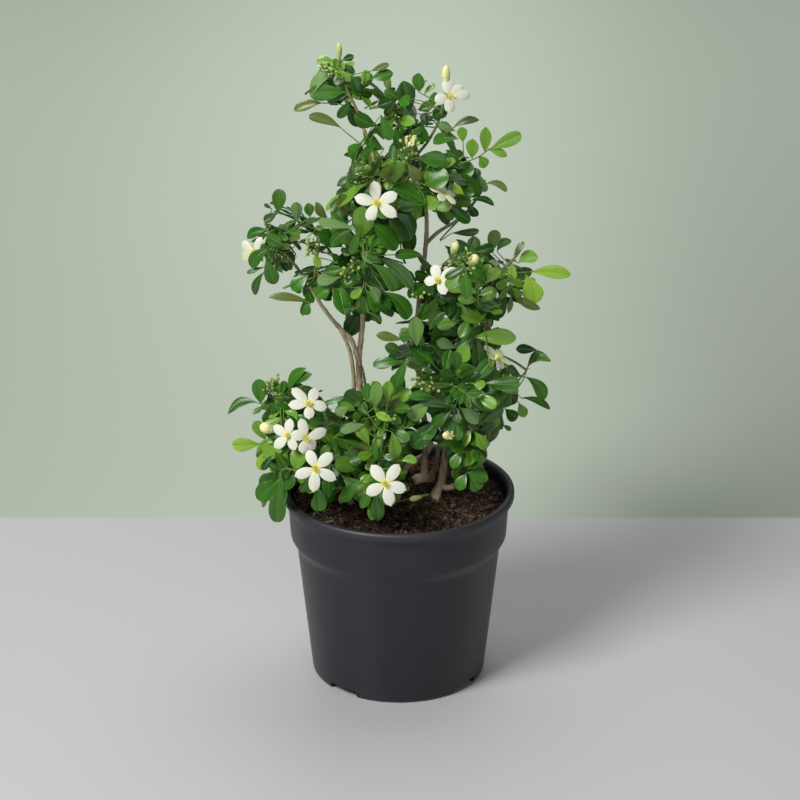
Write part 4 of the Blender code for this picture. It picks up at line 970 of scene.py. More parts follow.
def growStalk(heap, points):  # a flower's stalk, with five small sepals at its end
    path, radii = smoothPath(points, [0.55, 0.5, 0.6, 1.25], 1.4)
    tube(heap, path, radii, 8, thick=0.6, tone=0.35)
    ahead = (path[-1] - path[-2]).normalized()
    for k in range(5):
        growSepal(heap, path[-1], ahead, turned(across(ahead), ahead, math.tau * k / 5))


def growBudlet(heap, foot, ahead, size, chance):  # a small green bud
    path = [foot + ahead * size * s for s in (0, 0.25, 0.7, 1.2, 1.75, 2.15, 2.35)]
    radii = scaled((0.35, 0.62, 0.92, 1.0, 0.82, 0.42, 0.12), size)
    tube(heap, path, radii, 8, 2, tone=chance.uniform(0, 0.5))


def growCluster(heap, points, chance):  # a flower head of small buds on short stalks
    path, radii = smoothPath(points, [0.5, 0.42, 0.45, 0.4], 1.5)
    last = len(path) - 3
    tube(heap, path[:last], radii[:last], 6, thick=0.5, tone=0.45)
    ahead = (path[-1] - path[-3]).normalized()
    growBudlet(heap, path[last - 1], ahead, 1.45, chance)
    for k in range(8):
        start = path[int(len(path) * (0.30 + 0.065 * k))]
        out = turned(across(ahead), ahead, 2.4 * k + chance.uniform(-0.4, 0.4))
        way = (out + ahead * chance.uniform(0.5, 1.6)).normalized()
        end = start + way * chance.uniform(2.2, 4.6)
        middle = start.lerp(end, 0.55) - up * 0.2
        tube(heap, [start, middle, end], [0.32, 0.26, 0.30], 5, thick=0.5, tone=0.45)
        growBudlet(heap, end, (way + up * 0.2).normalized(), chance.uniform(0.75, 1.35), chance)


# How the plant is laid out: pixels of the photograph are met with planes at a chosen depth.
view = {"size": 800, "tilt": math.radians(90 - studio["pitch"]), "from": Vector(studio["camera"]) / mm}
view["focal"] = studio["lens"] / 36 * view["size"]
view["middle"] = (view["size"] / 2 - view["size"] * studio["shift"], view["size"] / 2)


def rayAt(u, v):  # the direction from the camera through a pixel
    right, rise = (u - view["middle"][0]) / view["focal"], (view["middle"][1] - v) / view["focal"]
    c, s = math.cos(view["tilt"]), math.sin(view["tilt"])
    return Vector((right, c + rise * s, rise * c - s))


def placeAt(u, v, y):  # the point behind this pixel, at this depth
    way = rayAt(u, v)
    return view["from"] + way * ((y - view["from"].y) / way.y)


def seen(points):  # the pixels of these points, and how far ahead of the camera they are
    away = np.asarray(points, float).reshape(-1, 3) - np.array(view["from"])
    c, s = math.cos(view["tilt"]), math.sin(view["tilt"])
    ahead, over = away[:, 1] * c - away[:, 2] * s, away[:, 1] * s + away[:, 2] * c
    u = view["middle"][0] + view["focal"] * away[:, 0] / ahead
    return u, view["middle"][1] - view["focal"] * over / ahead, ahead


def within(outline, u, v):
    inside = np.zeros(np.shape(u), bool)
    for (a, b), (c, d) in zip(outline, outline[1:] + outline[:1]):
        if b != d:
            inside ^= ((b > v) != (d > v)) & (u < (c - a) * (v - b) / (d - b) + a)
    return inside


# Green sprays, as in the part's source: the points that each twig passes, and where leaves on it reach with
# their tips. "out" and "sideOut" give a leaf's place along the first and the last twig, 0 to 1, and its tip.
sprays = {
    "spray_crown_tip": {"twigs": [[(-25, -5, 428), (-30, -6, 443), (-37, -6, 458), (-41, -5, 472)]],
        "out": [(0.45, (-70, 12, 446)), (0.2, (-58, 20, 428))]},
    "spray_crown_front_left": {"twigs": [[(-16, 0, 388), (-22, -14, 393), (-30, -30, 398),
        (-36, -42, 402)]], "out": [(0.5, (-5, -52, 412))]},
    "spray_crown_top": {"twigs": [[(7, 9, 423), (3, 7, 432), (-3, 7, 443), (-6, 9, 452)]],
        "out": [(0.6, (-44, 20, 436)), (0.5, (20, 34, 448)), (0.2, (-10, 52, 430))]},
    "spray_crown_top_right": {"twigs": [[(13, 4, 405), (21, -4, 418), (28, -11, 434), (31, -16, 448)]],
        "out": [(0.35, (56, 16, 430)), (0.5, (16, 30, 446))]},
    "spray_crown_right": {"twigs": [[(18.5, 0, 383), (28, -6, 394), (38, -12, 403), (46, -14, 410)]],
        "out": [(0.5, (46, -52, 398)), (0.6, (60, 26, 402))]},
    "spray_crown_right_low": {"twigs": [[(49, 4, 362), (54, 4, 369), (59, 4, 377), (62, 5, 386)]],
        "out": [(0.4, (62, -34, 372)), (0.5, (60, 44, 372)), (0.9, (66, 32, 392))]},
    "spray_crown_front": {"twigs": [[(19, 0, 375), (14, -14, 388), (8, -28, 401), (3, -38, 412)]],
        "out": [(0.6, (34, -50, 424)), (0.4, (22, -52, 378))]},
    "spray_crown_back": {"far": True, "twigs": [[(20, 0, 360), (19, 16, 374), (15, 34, 392), (10, 48, 408)],
        [(19, 16, 374), (2, 30, 378), (-18, 40, 380), (-34, 44, 386)]], "out": [(0.9, (32, 66, 424)),
        (0.6, (50, 52, 396)), (0.95, (-4, 52, 448))], "sideOut": [(0.95, (-56, 36, 392)),
        (0.7, (-34, 72, 376)), (0.6, (-36, 34, 424))]},
    "spray_left_up": {"twigs": [[(-76, -8, 328), (-84, -8, 337), (-92, -6, 348), (-96, -4, 357)]],
        "out": [(0.3, (-104, 22, 322)), (0.8, (-78, 30, 356)), (0.7, (-70, -2, 376))]},
    "spray_left_mid": {"twigs": [[(-60, -8, 303), (-60, -18, 320), (-58, -26, 338), (-56, -31, 354)],
        [(-60, -18, 320), (-72, -28, 320), (-82, -34, 318)]], "out": [(0.7, (-26, -40, 366)),
        (0.5, (-34, -56, 330))], "sideOut": [(0.6, (-72, -54, 308))]},
    "spray_left_inner": {"twigs": [[(-24.5, 3, 322), (-25, -12, 330), (-25, -28, 337), (-24, -42, 345)]],
        "out": [(0.95, (-2, -58, 362)), (0.7, (-44, -54, 318)), (0.8, (0, -56, 330))]},
    "spray_left_back": {"far": True, "twigs": [[(-25, 1.5, 300), (-36, 16, 310), (-50, 32, 322),
        (-60, 40, 334)]], "out": [(0.95, (-86, 44, 348)), (0.7, (-62, 68, 328)), (0.5, (-74, 18, 312)),
        (0.4, (-22, 52, 322))]},
    "spray_right_out": {"twigs": [[(67, -10, 313), (73, -10, 321), (82, -9, 330), (88, -8, 338)]],
        "out": [(0.7, (60, 24, 346)), (0.3, (86, 26, 320))]},
    "spray_right_front": {"twigs": [[(16, 8, 303), (21, -8, 313), (27, -22, 324), (34, -32, 336)]],
        "out": [(0.7, (8, -46, 312)), (0.35, (-10, -24, 306))]},
    "spray_right_mid": {"twigs": [[(64, -8, 273), (62, -18, 288), (60, -28, 300), (57, -36, 308)]],
        "out": [(0.95, (40, -60, 290)), (0.6, (28, -34, 288))]},
    "spray_back_right": {"far": True, "twigs": [[(41, 37, 234), (49, 38, 258), (56, 38, 282),
        (60, 38, 304)], [(49, 38, 258), (64, 42, 256), (78, 44, 250)]], "out": [(0.95, (60, 62, 328)),
        (0.7, (80, 40, 306)), (0.6, (28, 60, 298)), (0.85, (34, 34, 326))],
        "sideOut": [(0.95, (92, 48, 240)), (0.7, (70, 74, 240)), (0.5, (76, 20, 232))]},
    "spray_low_right_out": {"twigs": [[(60, -8, 259), (72, -6, 256), (84, -4, 250), (94, -2, 242)]],
        "out": [(0.7, (82, -30, 232)), (0.4, (74, 22, 232)), (0.8, (90, 30, 238))]},
    "spray_low_right_front": {"twigs": [[(48, -8, 226), (46, -22, 234), (42, -34, 242), (38, -44, 248)],
        [(46, -22, 234), (30, -28, 240), (16, -32, 248)]], "out": [(0.95, (60, -64, 236)),
        (0.8, (26, -64, 226)), (0.5, (74, -38, 244)), (0.6, (40, -46, 274))],
        "sideOut": [(0.95, (-2, -46, 262)), (0.8, (6, -52, 232)), (0.6, (12, -14, 276))]},
    "spray_low_right_hang": {"twigs": [[(43, -7.5, 211), (51, -16, 206), (57, -22, 196), (60, -26, 184)]],
        "out": [(0.7, (70, -42, 196)), (0.5, (40, -48, 194)), (0.4, (70, -4, 202))]},
    "spray_low_left_out": {"twigs": [[(-78, -19, 216), (-85, -18, 222), (-93, -16, 226), (-98, -14, 232)]],
        "out": [(0.9, (-76, -20, 250)), (0.4, (-92, 14, 208))]},
    "spray_low_left_front": {"twigs": [[(-62, -21, 192), (-68, -34, 194), (-76, -44, 190), (-84, -52, 184)],
        [(-68, -34, 194), (-58, -44, 204), (-52, -50, 216)]], "out": [(0.6, (-70, -70, 176))],
        "sideOut": [(0.95, (-44, -54, 236)), (0.7, (-28, -58, 206))]},
    "spray_front_low": {"shoot": True, "twigs": [[(-20, -34, 125), (-20, -34, 142), (-18, -42, 158),
        (-14, -48, 174), (-14, -50, 190)]], "out": [(0.6, (14, -64, 176)), (0.5, (-46, -66, 162)),
        (0.7, (16, -40, 184)), (0.97, (-30, -52, 218))]},
    "spray_low_left_back": {"far": True, "twigs": [[(-26, 12, 176), (-40, 22, 184), (-56, 30, 190),
        (-68, 34, 198)]], "out": [(0.95, (-90, 30, 206)), (0.7, (-66, 62, 188)), (0.5, (-62, 4, 182)),
        (0.6, (-40, 46, 210))]},
    "spray_back_left": {"far": True, "twigs": [[(-27, 43, 224), (-29, 45, 230), (-32, 49, 236)]],
        "out": [(0.9, (-40, 74, 228)), (0.5, (-66, 38, 218)), (0.7, (-20, 60, 226))]},
    "spray_centre": {"twigs": [[(-27, 8, 203), (-25, -8, 206), (-21, -24, 212), (-16, -36, 220)]],
        "out": [(0.95, (8, -52, 232)), (0.7, (-42, -34, 228)), (0.8, (8, -50, 206)), (0.4, (6, 2, 214))]},
}

# Open flowers: the pixel of the middle and its depth, the way it faces, its size, the spray and the place on
# its twig that holds it, and the pixels of the petals' tips. Two are seen only in part, and have even petals.
flowers = {
    "flower_1": ((377, 203), -62, (-0.05, -0.93, 0.36), 1.0, "spray_crown_front_left", 0.55,
        ((374, 180.5), (397.5, 193.5), (397, 217), (367.5, 220.5), (354, 197))),
    "flower_2": ((448.5, 96.5), -32, (0.35, -0.82, 0.45), 1.0, "spray_crown_top_right", 0.85,
        ((446, 79), (463.5, 86.5), (470.5, 95), (450.5, 113), (438, 100))),
    "flower_3": ((438.5, 281), -54, (-0.3, -0.8, 0.45), 0.95, "spray_right_front", 0.6,
        ((434, 264.5), (456, 268), (459, 285), (445, 293), (424, 281))),
    "flower_4": ((255, 252), -18, (-0.72, -0.66, 0.18), 0.95, "spray_left_up", 0.6,
        ((239, 241), (232.5, 262), (262, 270), (270, 254), (262, 237))),
    "flower_5": ((309, 404.5), -56, (0.15, -0.75, 0.62), 1.0, "spray_low_left_front", 0.5,
        ((291.5, 388), (317, 387.5), (327.5, 407), (309, 417.5), (288, 405))),
    "flower_6": ((288.5, 436), -56, (-0.35, -0.86, 0.38), 0.95, "spray_low_left_front", 0.35,
        ((290, 418), (304, 434), (296, 450), (274, 448), (273, 426))),
    "flower_7": ((305.5, 438.5), -72, (0.3, -0.88, 0.3), 1.0, "spray_low_left_front", 0.75,
        ((301, 418.5), (329, 429), (315, 449), (303, 452), (291.5, 433))),
    "flower_8": ((315.5, 468.5), -81, (0.02, -0.92, 0.38), 1.05, "spray_low_left_front", 0.45,
        ((308, 449.5), (332.5, 453), (336.5, 480), (313.5, 493), (294.5, 476.5))),
    "flower_9": ((385.5, 484), -81, (0.0, -0.9, 0.42), 1.08, "spray_front_low", 0.75,
        ((371, 464.5), (399.5, 463.5), (406.5, 490), (391, 506.5), (366, 494))),
    "flower_10": ((444, 193.5), -48, (0.46, -0.26, 0.85), 0.85, "spray_crown_front", 0.3, ()),
    "flower_11": ((497, 357), -34, (0.52, 0.72, 0.46), 0.95, "spray_right_mid", 0.5, ()),
}

# Large buds: foot, tip, greatest radius, from green 0 to cream 1, kind, the spray and the place on its twig.
bigBuds = {
    "bud_top": ((-41.5, -5, 477), (-41.5, -6, 490.6), 2.1, 0.3, "bud", "spray_crown_tip", 1.0),
    "bud_crown": ((33, -24, 461), (33, -27, 480), 3.1, 0.8, "bud", "spray_crown_top_right", 1.0),
    "bud_right": ((38, -44, 348), (41, -48, 357), 3.2, 0.62, "bud", "spray_right_front", 0.9),
    "bud_right_low": ((51, -42, 338), (55, -46, 347), 3.6, 0.85, "bud", "spray_right_front", 0.8),
    "bud_low_left": ((-89, -44, 212), (-100, -48, 217), 4.2, 1.0, "bud", "spray_low_left_out", 0.35),
    "bud_faded": ((6, -48, 427), (9, -58, 437), 2.4, 1.0, "faded", "spray_crown_front", 0.9),
    "bud_low_right": ((38, -46, 208), (33, -57, 214), 3.1, 0.95, "folded", "spray_low_right_hang", 0.4),
    "bud_by_trunk": ((17, -25, 151), (8, -29, 150), 2.5, 0.95, "bud", "spray_front_low", 0.35),
}

# Heads of small green buds: the spray, the place on its twig, where they point and how many there are.
budHeads = [
    ("spray_low_left_out", 0.8, (-92, -34, 246), 2), ("spray_low_right_front", 0.9, (12, -58, 252), 2),
    ("spray_low_right_out", 0.5, (72, -30, 246), 2), ("spray_left_inner", 0.6, (-42, -46, 334), 2),
    ("spray_left_mid", 0.8, (-62, -46, 354), 2), ("spray_right_front", 0.4, (14, -44, 314), 2),
    ("spray_right_front", 0.9, (50, -48, 342), 2), ("spray_crown_front", 0.8, (8, -46, 428), 2),
    ("spray_centre", 0.8, (-4, -48, 224), 1), ("spray_crown_tip", 0.9, (-49, -12, 476), 2),
    ("spray_low_left_front", 0.3, (-40, -54, 194), 1), ("spray_left_up", 0.5, (-92, -16, 336), 1),
]

# Leaflets drawn after the photograph. A group has its spray, its depth, the points of ribs, and its
# leaflets: the pixels of foot and tip, the width in pixels, the tone, and how far it bows, if it does.
drawn = [
    ("spray_crown_tip", -6, [[(364, 145), (348, 134), (341, 128)], [(354, 110), (340, 104), (322, 103)]],
        [(322, 103, 294, 110, 11, "olive", -2), (341, 128, 309, 116, 11, "olive", -3),
        (334, 61, 317, 62, 13, "fresh"), (342, 60, 354, 56, 7, "dark"), (344, 64, 354, 73, 7, "dark"),
        (338, 71, 310, 92, 12, "pale", -5), (346, 92, 309, 93, 17, "mid"),
        (331, 72, 351, 81, 9, "fresh", 2), (352, 76, 360, 96, 13, "dark"), (366, 83, 366, 70, 9, "fresh"),
        (371, 71, 389, 64, 7, "olive"), (371, 79, 393, 73, 12, "dark"), (346, 74, 334, 84, 10, "mid"),
        (352, 100, 338, 118, 10, "dark")]),
    ("spray_crown_front_left", -30, [], [(366, 161, 348, 147, 17, "mid"),
        (363, 177, 337, 186, 9, "mid", -3), (346, 216, 341, 193, 13, "olive"),
        (376, 125, 354, 116, 15, "mid", 2), (384, 149, 367, 137, 14, "dark", 3),
        (381, 115, 391, 140, 13, "dark"), (368, 180, 350, 200, 13, "mid"),
        (352, 172, 372, 168, 9, "fresh")]),
    ("spray_crown_top_right", -12, [], [(410, 112, 403, 81, 18, "mid"), (419, 92, 419, 73, 12, "dark"),
        (432, 118, 447, 107, 13, "dark"), (453, 128, 479, 120, 8, "olive", 3),
        (455, 131, 438, 124, 9, "pale"), (418, 110, 432, 104, 11, "dark"), (430, 140, 413, 131, 15, "dark"),
        (458, 139, 433, 143, 12, "mid", -3), (394, 157, 414, 149, 13, "light"),
        (424, 94, 435, 84, 6, "fresh"), (402, 100, 384, 91, 10, "mid"), (399, 98, 378, 106, 11, "dark"),
        (428, 112, 436, 92, 8, "mid")]),
    ("spray_crown_right", -14, [[(460, 163), (474, 159), (483, 154), (489, 149)]],
        [(463, 142, 462, 127, 10, "fresh"), (472, 158, 473, 139, 12, "fresh"),
        (485, 152, 486, 127, 11, "fresh"), (490, 149, 521, 134, 14, "fresh"),
        (489, 150, 507, 156, 8, "fresh"), (479, 156, 486, 167, 11, "fresh"),
        (446, 150, 462, 160, 15, "mid")]),
    ("spray_crown_right_low", -4, [[(463, 206), (470, 201)], [(470, 184), (484, 184)], [(440, 240),
        (452, 233)]], [(452, 233, 479, 231, 8, "olive", -2), (484, 184, 507, 191, 7, "olive", 4),
        (470, 201, 494, 205, 7, "dark", 4), (468, 203, 478, 216, 9, "dark", -2),
        (478, 173, 485, 192, 9, "pale"), (456, 176, 474, 167, 14, "mid")]),
    ("spray_crown_front", -45, [], [(417, 158, 447, 160, 17, "dark"), (424, 185, 449, 175, 20, "mid"),
        (394, 183, 396, 161, 17, "fresh"), (464, 195, 452, 185, 8, "young"),
        (428, 210, 392, 188, 16, "dark", -4), (426, 204, 398, 206, 13, "dark"),
        (431, 206, 453, 203, 15, "light"), (446, 206, 470, 222, 13, "dark"),
        (391, 213, 411, 240, 23, "dark", 4), (372, 222, 397, 249, 19, "mid"),
        (408, 164, 420, 180, 12, "olive")]),
    ("spray_left_inner", -42, [], [(355, 228, 318, 221, 10, "pale"), (353, 229, 331, 247, 11, "mid", -4),
        (360, 228, 351, 254, 9, "mid"), (382, 263, 362, 253, 12, "pale"),
        (424, 257, 395, 256, 11, "mid", -2), (372, 264, 396, 290, 15, "mid", 4),
        (378, 258, 413, 290, 14, "mid", 5), (367, 285, 379, 302, 9, "pale", 3),
        (366, 290, 377, 312, 14, "dark", 2), (368, 312, 381, 324, 8, "dark", 2),
        (358, 308, 340, 309, 9, "dark"), (363, 288, 351, 298, 9, "fresh"),
        (385, 292, 409, 318, 15, "dark", 3)]),
    ("spray_left_inner", 4, [], [(346, 338, 358, 314, 18, "dark")]),
    ("spray_left_mid", -34, [], [(341, 277, 317, 281, 12, "pale"), (331, 284, 316, 297, 15, "mid"),
        (331, 287, 344, 300, 11, "pale"), (308, 275, 292, 290, 14, "dark"), (310, 303, 305, 315, 9, "dark"),
        (345, 268, 326, 272, 10, "mid"), (315, 252, 319, 268, 8, "young"),
        (310, 303, 269, 297, 9, "olive", -2)]),
    ("spray_left_up", -13, [], [(278, 213, 280, 189, 14, "mid"), (272, 209, 264, 204, 4, "mid"),
        (277, 213, 264, 221, 9, "mid"), (264, 272, 255, 295, 8, "mid", -3),
        (297, 221, 296, 202, 11, "pale"), (310, 217, 308, 203, 10, "mid"),
        (328, 219, 316, 202, 9, "olive", 2)]),
    ("spray_left_up", -34, [], [(271, 248, 251, 267, 13, "mid", -4), (266, 259, 275, 284, 14, "mid"),
        (268, 230, 247, 238, 10, "dark", -3), (264, 267, 247, 273, 5, "dark"),
        (283, 246, 267, 236, 13, "mid"), (272, 262, 262, 244, 9, "dark")]),
    ("spray_right_out", -9, [[(503, 276), (515, 273), (530, 272)], [(502, 286), (512, 292)]],
        [(492, 252, 495, 230, 12, "pale"), (497, 251, 511, 240, 9, "mid", 3),
        (514, 256, 524, 242, 6, "olive"), (518, 263, 538, 257, 14, "fresh", 3),
        (531, 272, 573, 275, 14, "young", 2), (526, 275, 534, 304, 20, "young", 3),
        (511, 294, 540, 309, 9, "olive", -2), (512, 262, 512, 283, 10, "young"),
        (506, 286, 498, 318, 12, "mid")]),
    ("spray_right_front", -44, [], [(417, 346, 415, 317, 15, "light"), (430, 330, 443, 312, 13, "mid", 3)]),
    ("spray_right_front", -66, [], [(465, 267, 445, 278, 8, "mid"), (461, 272, 447, 288, 11, "light"),
        (466, 272, 467, 299, 12, "mid"), (470, 270, 486, 282, 12, "mid")]),
    ("spray_right_mid", -27, [], [(488, 322, 460, 313, 17, "fresh"), (474, 337, 516, 338, 17, "fresh", 1),
        (468, 340, 461, 362, 16, "fresh"), (476, 338, 480, 368, 16, "mid"),
        (456, 348, 436, 341, 11, "pale")]),
    ("spray_low_right_out", -6, [[(503, 400), (515, 391), (524, 378), (527, 368)]],
        [(537, 350, 516, 349, 10, "dark"), (527, 369, 551, 361, 12, "mid", 9),
        (526, 377, 544, 400, 13, "mid", 4), (521, 398, 550, 409, 7, "mid", 3),
        (519, 403, 525, 417, 10, "fresh"), (521, 376, 491, 384, 14, "mid", -3),
        (520, 375, 500, 367, 11, "dark", -2), (492, 388, 510, 406, 16, "mid"),
        (503, 412, 489, 442, 14, "olive", -2), (505, 409, 516, 420, 12, "dark"),
        (503, 425, 511, 430, 5, "mid")]),
    ("spray_low_right_front", -42, [], [(402, 340, 376, 335, 10, "olive"), (417, 335, 399, 335, 15, "mid"),
        (402, 352, 385, 346, 11, "mid"), (402, 361, 373, 365, 12, "dark"), (408, 360, 395, 388, 10, "mid"),
        (460, 408, 478, 424, 13, "pale", 2), (430, 402, 409, 418, 16, "light"),
        (450, 412, 432, 427, 12, "mid"), (436, 398, 408, 397, 10, "dark", -2),
        (455, 408, 420, 402, 10, "dark", -2), (402, 433, 418, 444, 12, "mid", 3)]),
    ("spray_low_right_hang", -34, [[(468, 425), (474, 432)], [(474, 450), (468, 472)]],
        [(471, 430, 462, 447, 11, "fresh"), (475, 432, 486, 450, 12, "fresh"),
        (463, 466, 477, 452, 12, "fresh"), (476, 452, 470, 469, 13, "mid"), (461, 452, 452, 468, 12, "mid"),
        (467, 473, 488, 480, 14, "mid", 2), (466, 474, 458, 490, 13, "mid"),
        (470, 476, 479, 490, 14, "mid")]),
    ("spray_low_left_out", -22, [[(283, 440), (268, 444), (260, 444)], [(275, 408), (258, 403)]],
        [(258, 403, 228, 414, 10, "dark", -7), (261, 404, 259, 379, 14, "mid"),
        (264, 406, 253, 414, 6, "dark"), (272, 403, 270, 426, 16, "mid"),
        (269, 404, 290, 418, 14, "mid", 3), (266, 440, 255, 421, 12, "fresh"),
        (260, 444, 232, 445, 14, "young"), (268, 450, 260, 470, 13, "young"),
        (290, 393, 306, 368, 10, "mid", 5), (292, 386, 312, 374, 9, "mid", 2),
        (290, 393, 303, 385, 10, "dark")]),
    ("spray_low_left_front", -48, [], [(280, 478, 257, 499, 19, "mid"), (297, 472, 285, 490, 10, "mid"),
        (275, 452, 285, 467, 11, "mid"), (288, 452, 298, 465, 12, "mid"), (272, 455, 262, 470, 8, "dark"),
        (330, 420, 309, 422, 10, "mid")]),
    ("spray_low_left_front", -66, [], [(280, 480, 277, 522, 16, "mid"), (307, 480, 301, 492, 9, "mid"),
        (318, 487, 319, 511, 15, "mid")]),
    ("spray_front_low", -50, [[(383, 434), (386, 418), (387, 403)], [(378, 428), (368, 414), (361, 405)],
        [(374, 436), (362, 428), (352, 426)]], [(358, 402, 346, 391, 14, "dark"),
        (366, 402, 368, 383, 10, "dark"), (375, 407, 378, 383, 11, "light"),
        (387, 400, 388, 381, 11, "fresh"), (393, 421, 376, 413, 9, "young"),
        (366, 424, 340, 431, 10, "pale"), (349, 396, 324, 404, 6, "dark"), (350, 407, 335, 413, 11, "pale"),
        (392, 432, 396, 458, 12, "fresh"), (375, 440, 372, 462, 11, "mid"),
        (330, 442, 322, 456, 10, "fresh"), (401, 461, 417, 461, 9, "fresh", 2)]),
    ("spray_front_low", -73, [], [(375, 492, 378, 521, 13, "mid"), (372, 490, 361, 508, 10, "dark"),
        (358, 484, 342, 500, 13, "dark")]),
]

# Outlines of the two masses of leaves in the photograph, around the crown and around what is under it.
masses = [
    [(340, 54), (353, 56), (352, 66), (357, 75), (364, 69), (373, 76), (377, 67), (391, 69), (393, 80),
     (384, 86), (398, 84), (405, 79), (413, 84), (416, 74), (424, 74), (427, 87), (437, 84), (442, 90),
     (446, 104), (449, 112), (440, 121), (452, 126), (466, 131), (468, 148), (475, 160), (471, 170),
     (483, 172), (486, 190), (478, 193), (466, 203), (471, 222), (447, 225), (437, 222), (430, 213),
     (424, 214), (415, 228), (414, 240), (407, 250), (424, 250), (424, 262), (404, 261), (414, 275),
     (424, 285), (418, 300), (404, 300), (410, 312), (416, 330), (405, 327), (395, 318), (388, 307),
     (381, 312), (380, 323), (370, 316), (359, 318), (357, 332), (346, 338), (342, 326), (345, 316),
     (340, 311), (346, 305), (338, 301), (314, 303), (310, 314), (303, 312), (300, 303), (290, 294),
     (293, 275), (276, 275), (273, 284), (263, 268), (250, 268), (254, 258), (262, 250), (258, 243),
     (247, 239), (252, 231), (262, 226), (278, 222), (265, 216), (274, 211), (271, 200), (274, 191),
     (281, 188), (285, 192), (290, 200), (308, 201), (322, 200), (330, 208), (334, 199), (345, 188),
     (337, 187), (337, 176), (349, 168), (352, 160), (346, 152), (350, 143), (366, 142), (368, 133),
     (362, 127), (350, 126), (344, 117), (337, 108), (345, 102), (325, 100), (308, 94), (318, 76),
     (330, 70), (318, 62), (330, 55)],
    [(418, 268), (430, 262), (445, 270), (450, 258), (450, 240), (462, 236), (475, 238), (486, 248),
     (489, 236), (498, 231), (498, 250), (508, 243), (516, 256), (528, 250), (538, 257), (532, 272),
     (541, 290), (533, 304), (512, 306), (504, 312), (497, 319), (490, 312), (491, 327), (507, 327),
     (517, 338), (500, 346), (491, 346), (496, 362), (511, 365), (523, 374), (525, 396), (513, 400),
     (517, 412), (512, 421), (503, 420), (498, 432), (488, 443), (484, 452), (483, 462), (488, 480),
     (478, 491), (458, 491), (450, 470), (452, 456), (441, 453), (432, 440), (420, 446), (404, 445),
     (416, 458), (410, 463), (400, 465), (406, 480), (405, 495), (396, 506), (384, 502), (382, 520),
     (374, 520), (370, 506), (361, 508), (356, 497), (343, 501), (336, 490), (326, 500), (320, 511),
     (312, 506), (308, 492), (300, 491), (297, 482), (289, 492), (286, 503), (287, 517), (278, 524),
     (271, 515), (270, 498), (262, 502), (256, 496), (258, 486), (268, 478), (278, 475), (262, 471),
     (255, 463), (257, 452), (268, 447), (260, 440), (253, 430), (254, 421), (263, 420), (265, 406),
     (257, 401), (252, 390), (255, 381), (263, 380), (266, 388), (272, 382), (286, 385), (291, 374),
     (298, 368), (312, 374), (303, 384), (318, 387), (328, 402), (334, 423), (341, 420), (337, 408),
     (346, 403), (335, 401), (345, 391), (357, 390), (365, 389), (369, 383), (381, 382), (391, 383),
     (396, 377), (388, 370), (374, 368), (373, 361), (396, 356), (386, 351), (386, 345), (397, 343),
     (399, 332), (416, 330), (404, 300), (418, 300), (418, 285)],
]
# Where the wall shows between the leaves: the middle's pixel and the radius.
gaps = [
    (379, 83, 4), (361, 103, 3), (379, 114, 4), (418, 113, 2), (420, 97, 6), (425, 99, 4), (431, 133, 6),
    (420, 149, 5), (432, 147, 5), (442, 149, 4), (463, 149, 3), (382, 147, 5), (383, 153, 3),
    (318, 211, 5), (310, 236, 4), (305, 256, 6), (302, 265, 4), (338, 250, 3), (327, 260, 4),
    (388, 267, 4), (395, 253, 5), (400, 294, 4), (413, 305, 5), (275, 220, 4), (410, 372, 3),
    (414, 382, 4), (425, 416, 4), (420, 427, 2), (500, 366, 4), (499, 254, 3), (506, 254, 3),
    (525, 392, 4), (508, 419, 4), (262, 397, 2), (432, 217, 5), (438, 230, 4),
]


# Leaves that fill the masses: each new one reaches for a bare spot, from a twig that is near enough.
fill = {
    "cell": 2.5, "tries": 12, "steps": 620, "bare": 0.015, "giveUp": 60, "least": 4, "veil": 0.55,
    "stray": 0.07, "near": 10, "reach": (24, 54), "beyond": (-3, 14), "scale": 1.42, "depth": (-38, 24),
    "backSteps": 330, "backLeast": 12, "backFrom": 6.0, "backDepth": (-4, 42),
    "backSide": 140, "backCells": (204, 112), "backPlane": 25.0,  # the back's view, level from behind
    "setTries": 16, "setShift": 1.2, "setHides": 14, "setStray": 0.12,
    "leaflets": (5, 5, 5, 7), "setLeaflets": (5, 5, 7),
    "bedTop": (80, 141.5), "lipTop": (88.5, 150.5), "inside": 0.35,  # out to this radius, leaves stay above
    "aroundPetal": 6.5, "aroundFlower": 11, "aroundBud": (1.45, 1.5), "behind": 4,  # pixels, and mm of depth
    "tones": (0.0, 0.0, 0.0, 0.0, 0.08, 0.15, 0.26, 0.38, 0.5), "olive": 0.06,
    "seed": 71, "backSeed": 72, "headSeed": 900,
}
# light: leaflets seen lit, whose top side is also painted paler as a painted highlight
toneOf = {"dark": 0.0, "mid": 0.16, "fresh": 0.48, "young": 0.95, "olive": 0.30, "pale": 0.30, "light": 0.40}


def outward(spot, middle):
    near = Vector((spot.x - middle.x, spot.y - middle.y, 0.0)).normalized()
    return (near + Vector((spot.x, spot.y - 4.0, 0.0)).normalized() * 0.7 + Vector((1e-4, 0, 0))).normalized()


def leafTo(base, tip, middle, count, chance):  # a leaf from the twig to this tip, facing up and out
    chord = tip - base
    way, droop = chord.normalized(), chance.uniform(0.35, 0.65)
    facing = up * 0.95 + outward(base, middle) * 0.5 + front * (0.55 if base.y < 15 else 0.0)
    normal = facing - way * facing.dot(way)
    if normal.length < 0.15:
        normal = across(way).cross(way)
    normal = turned(normal.normalized(), way, chance.uniform(-0.45, 0.45))
    ahead = turned(way, normal.cross(way), -droop / 2)
    length = chord.length * (droop / 2) / math.sin(droop / 2)
    return {"base": base, "ahead": ahead, "normal": square(normal, ahead), "count": count,
            "length": length, "droop": droop, "fold": chance.uniform(0.05, 0.3)}


def leafPoints(made, seed):
    return np.concatenate([leafletPoints(leaflet) for leaflet in leafletList(made, random.Random(seed))])


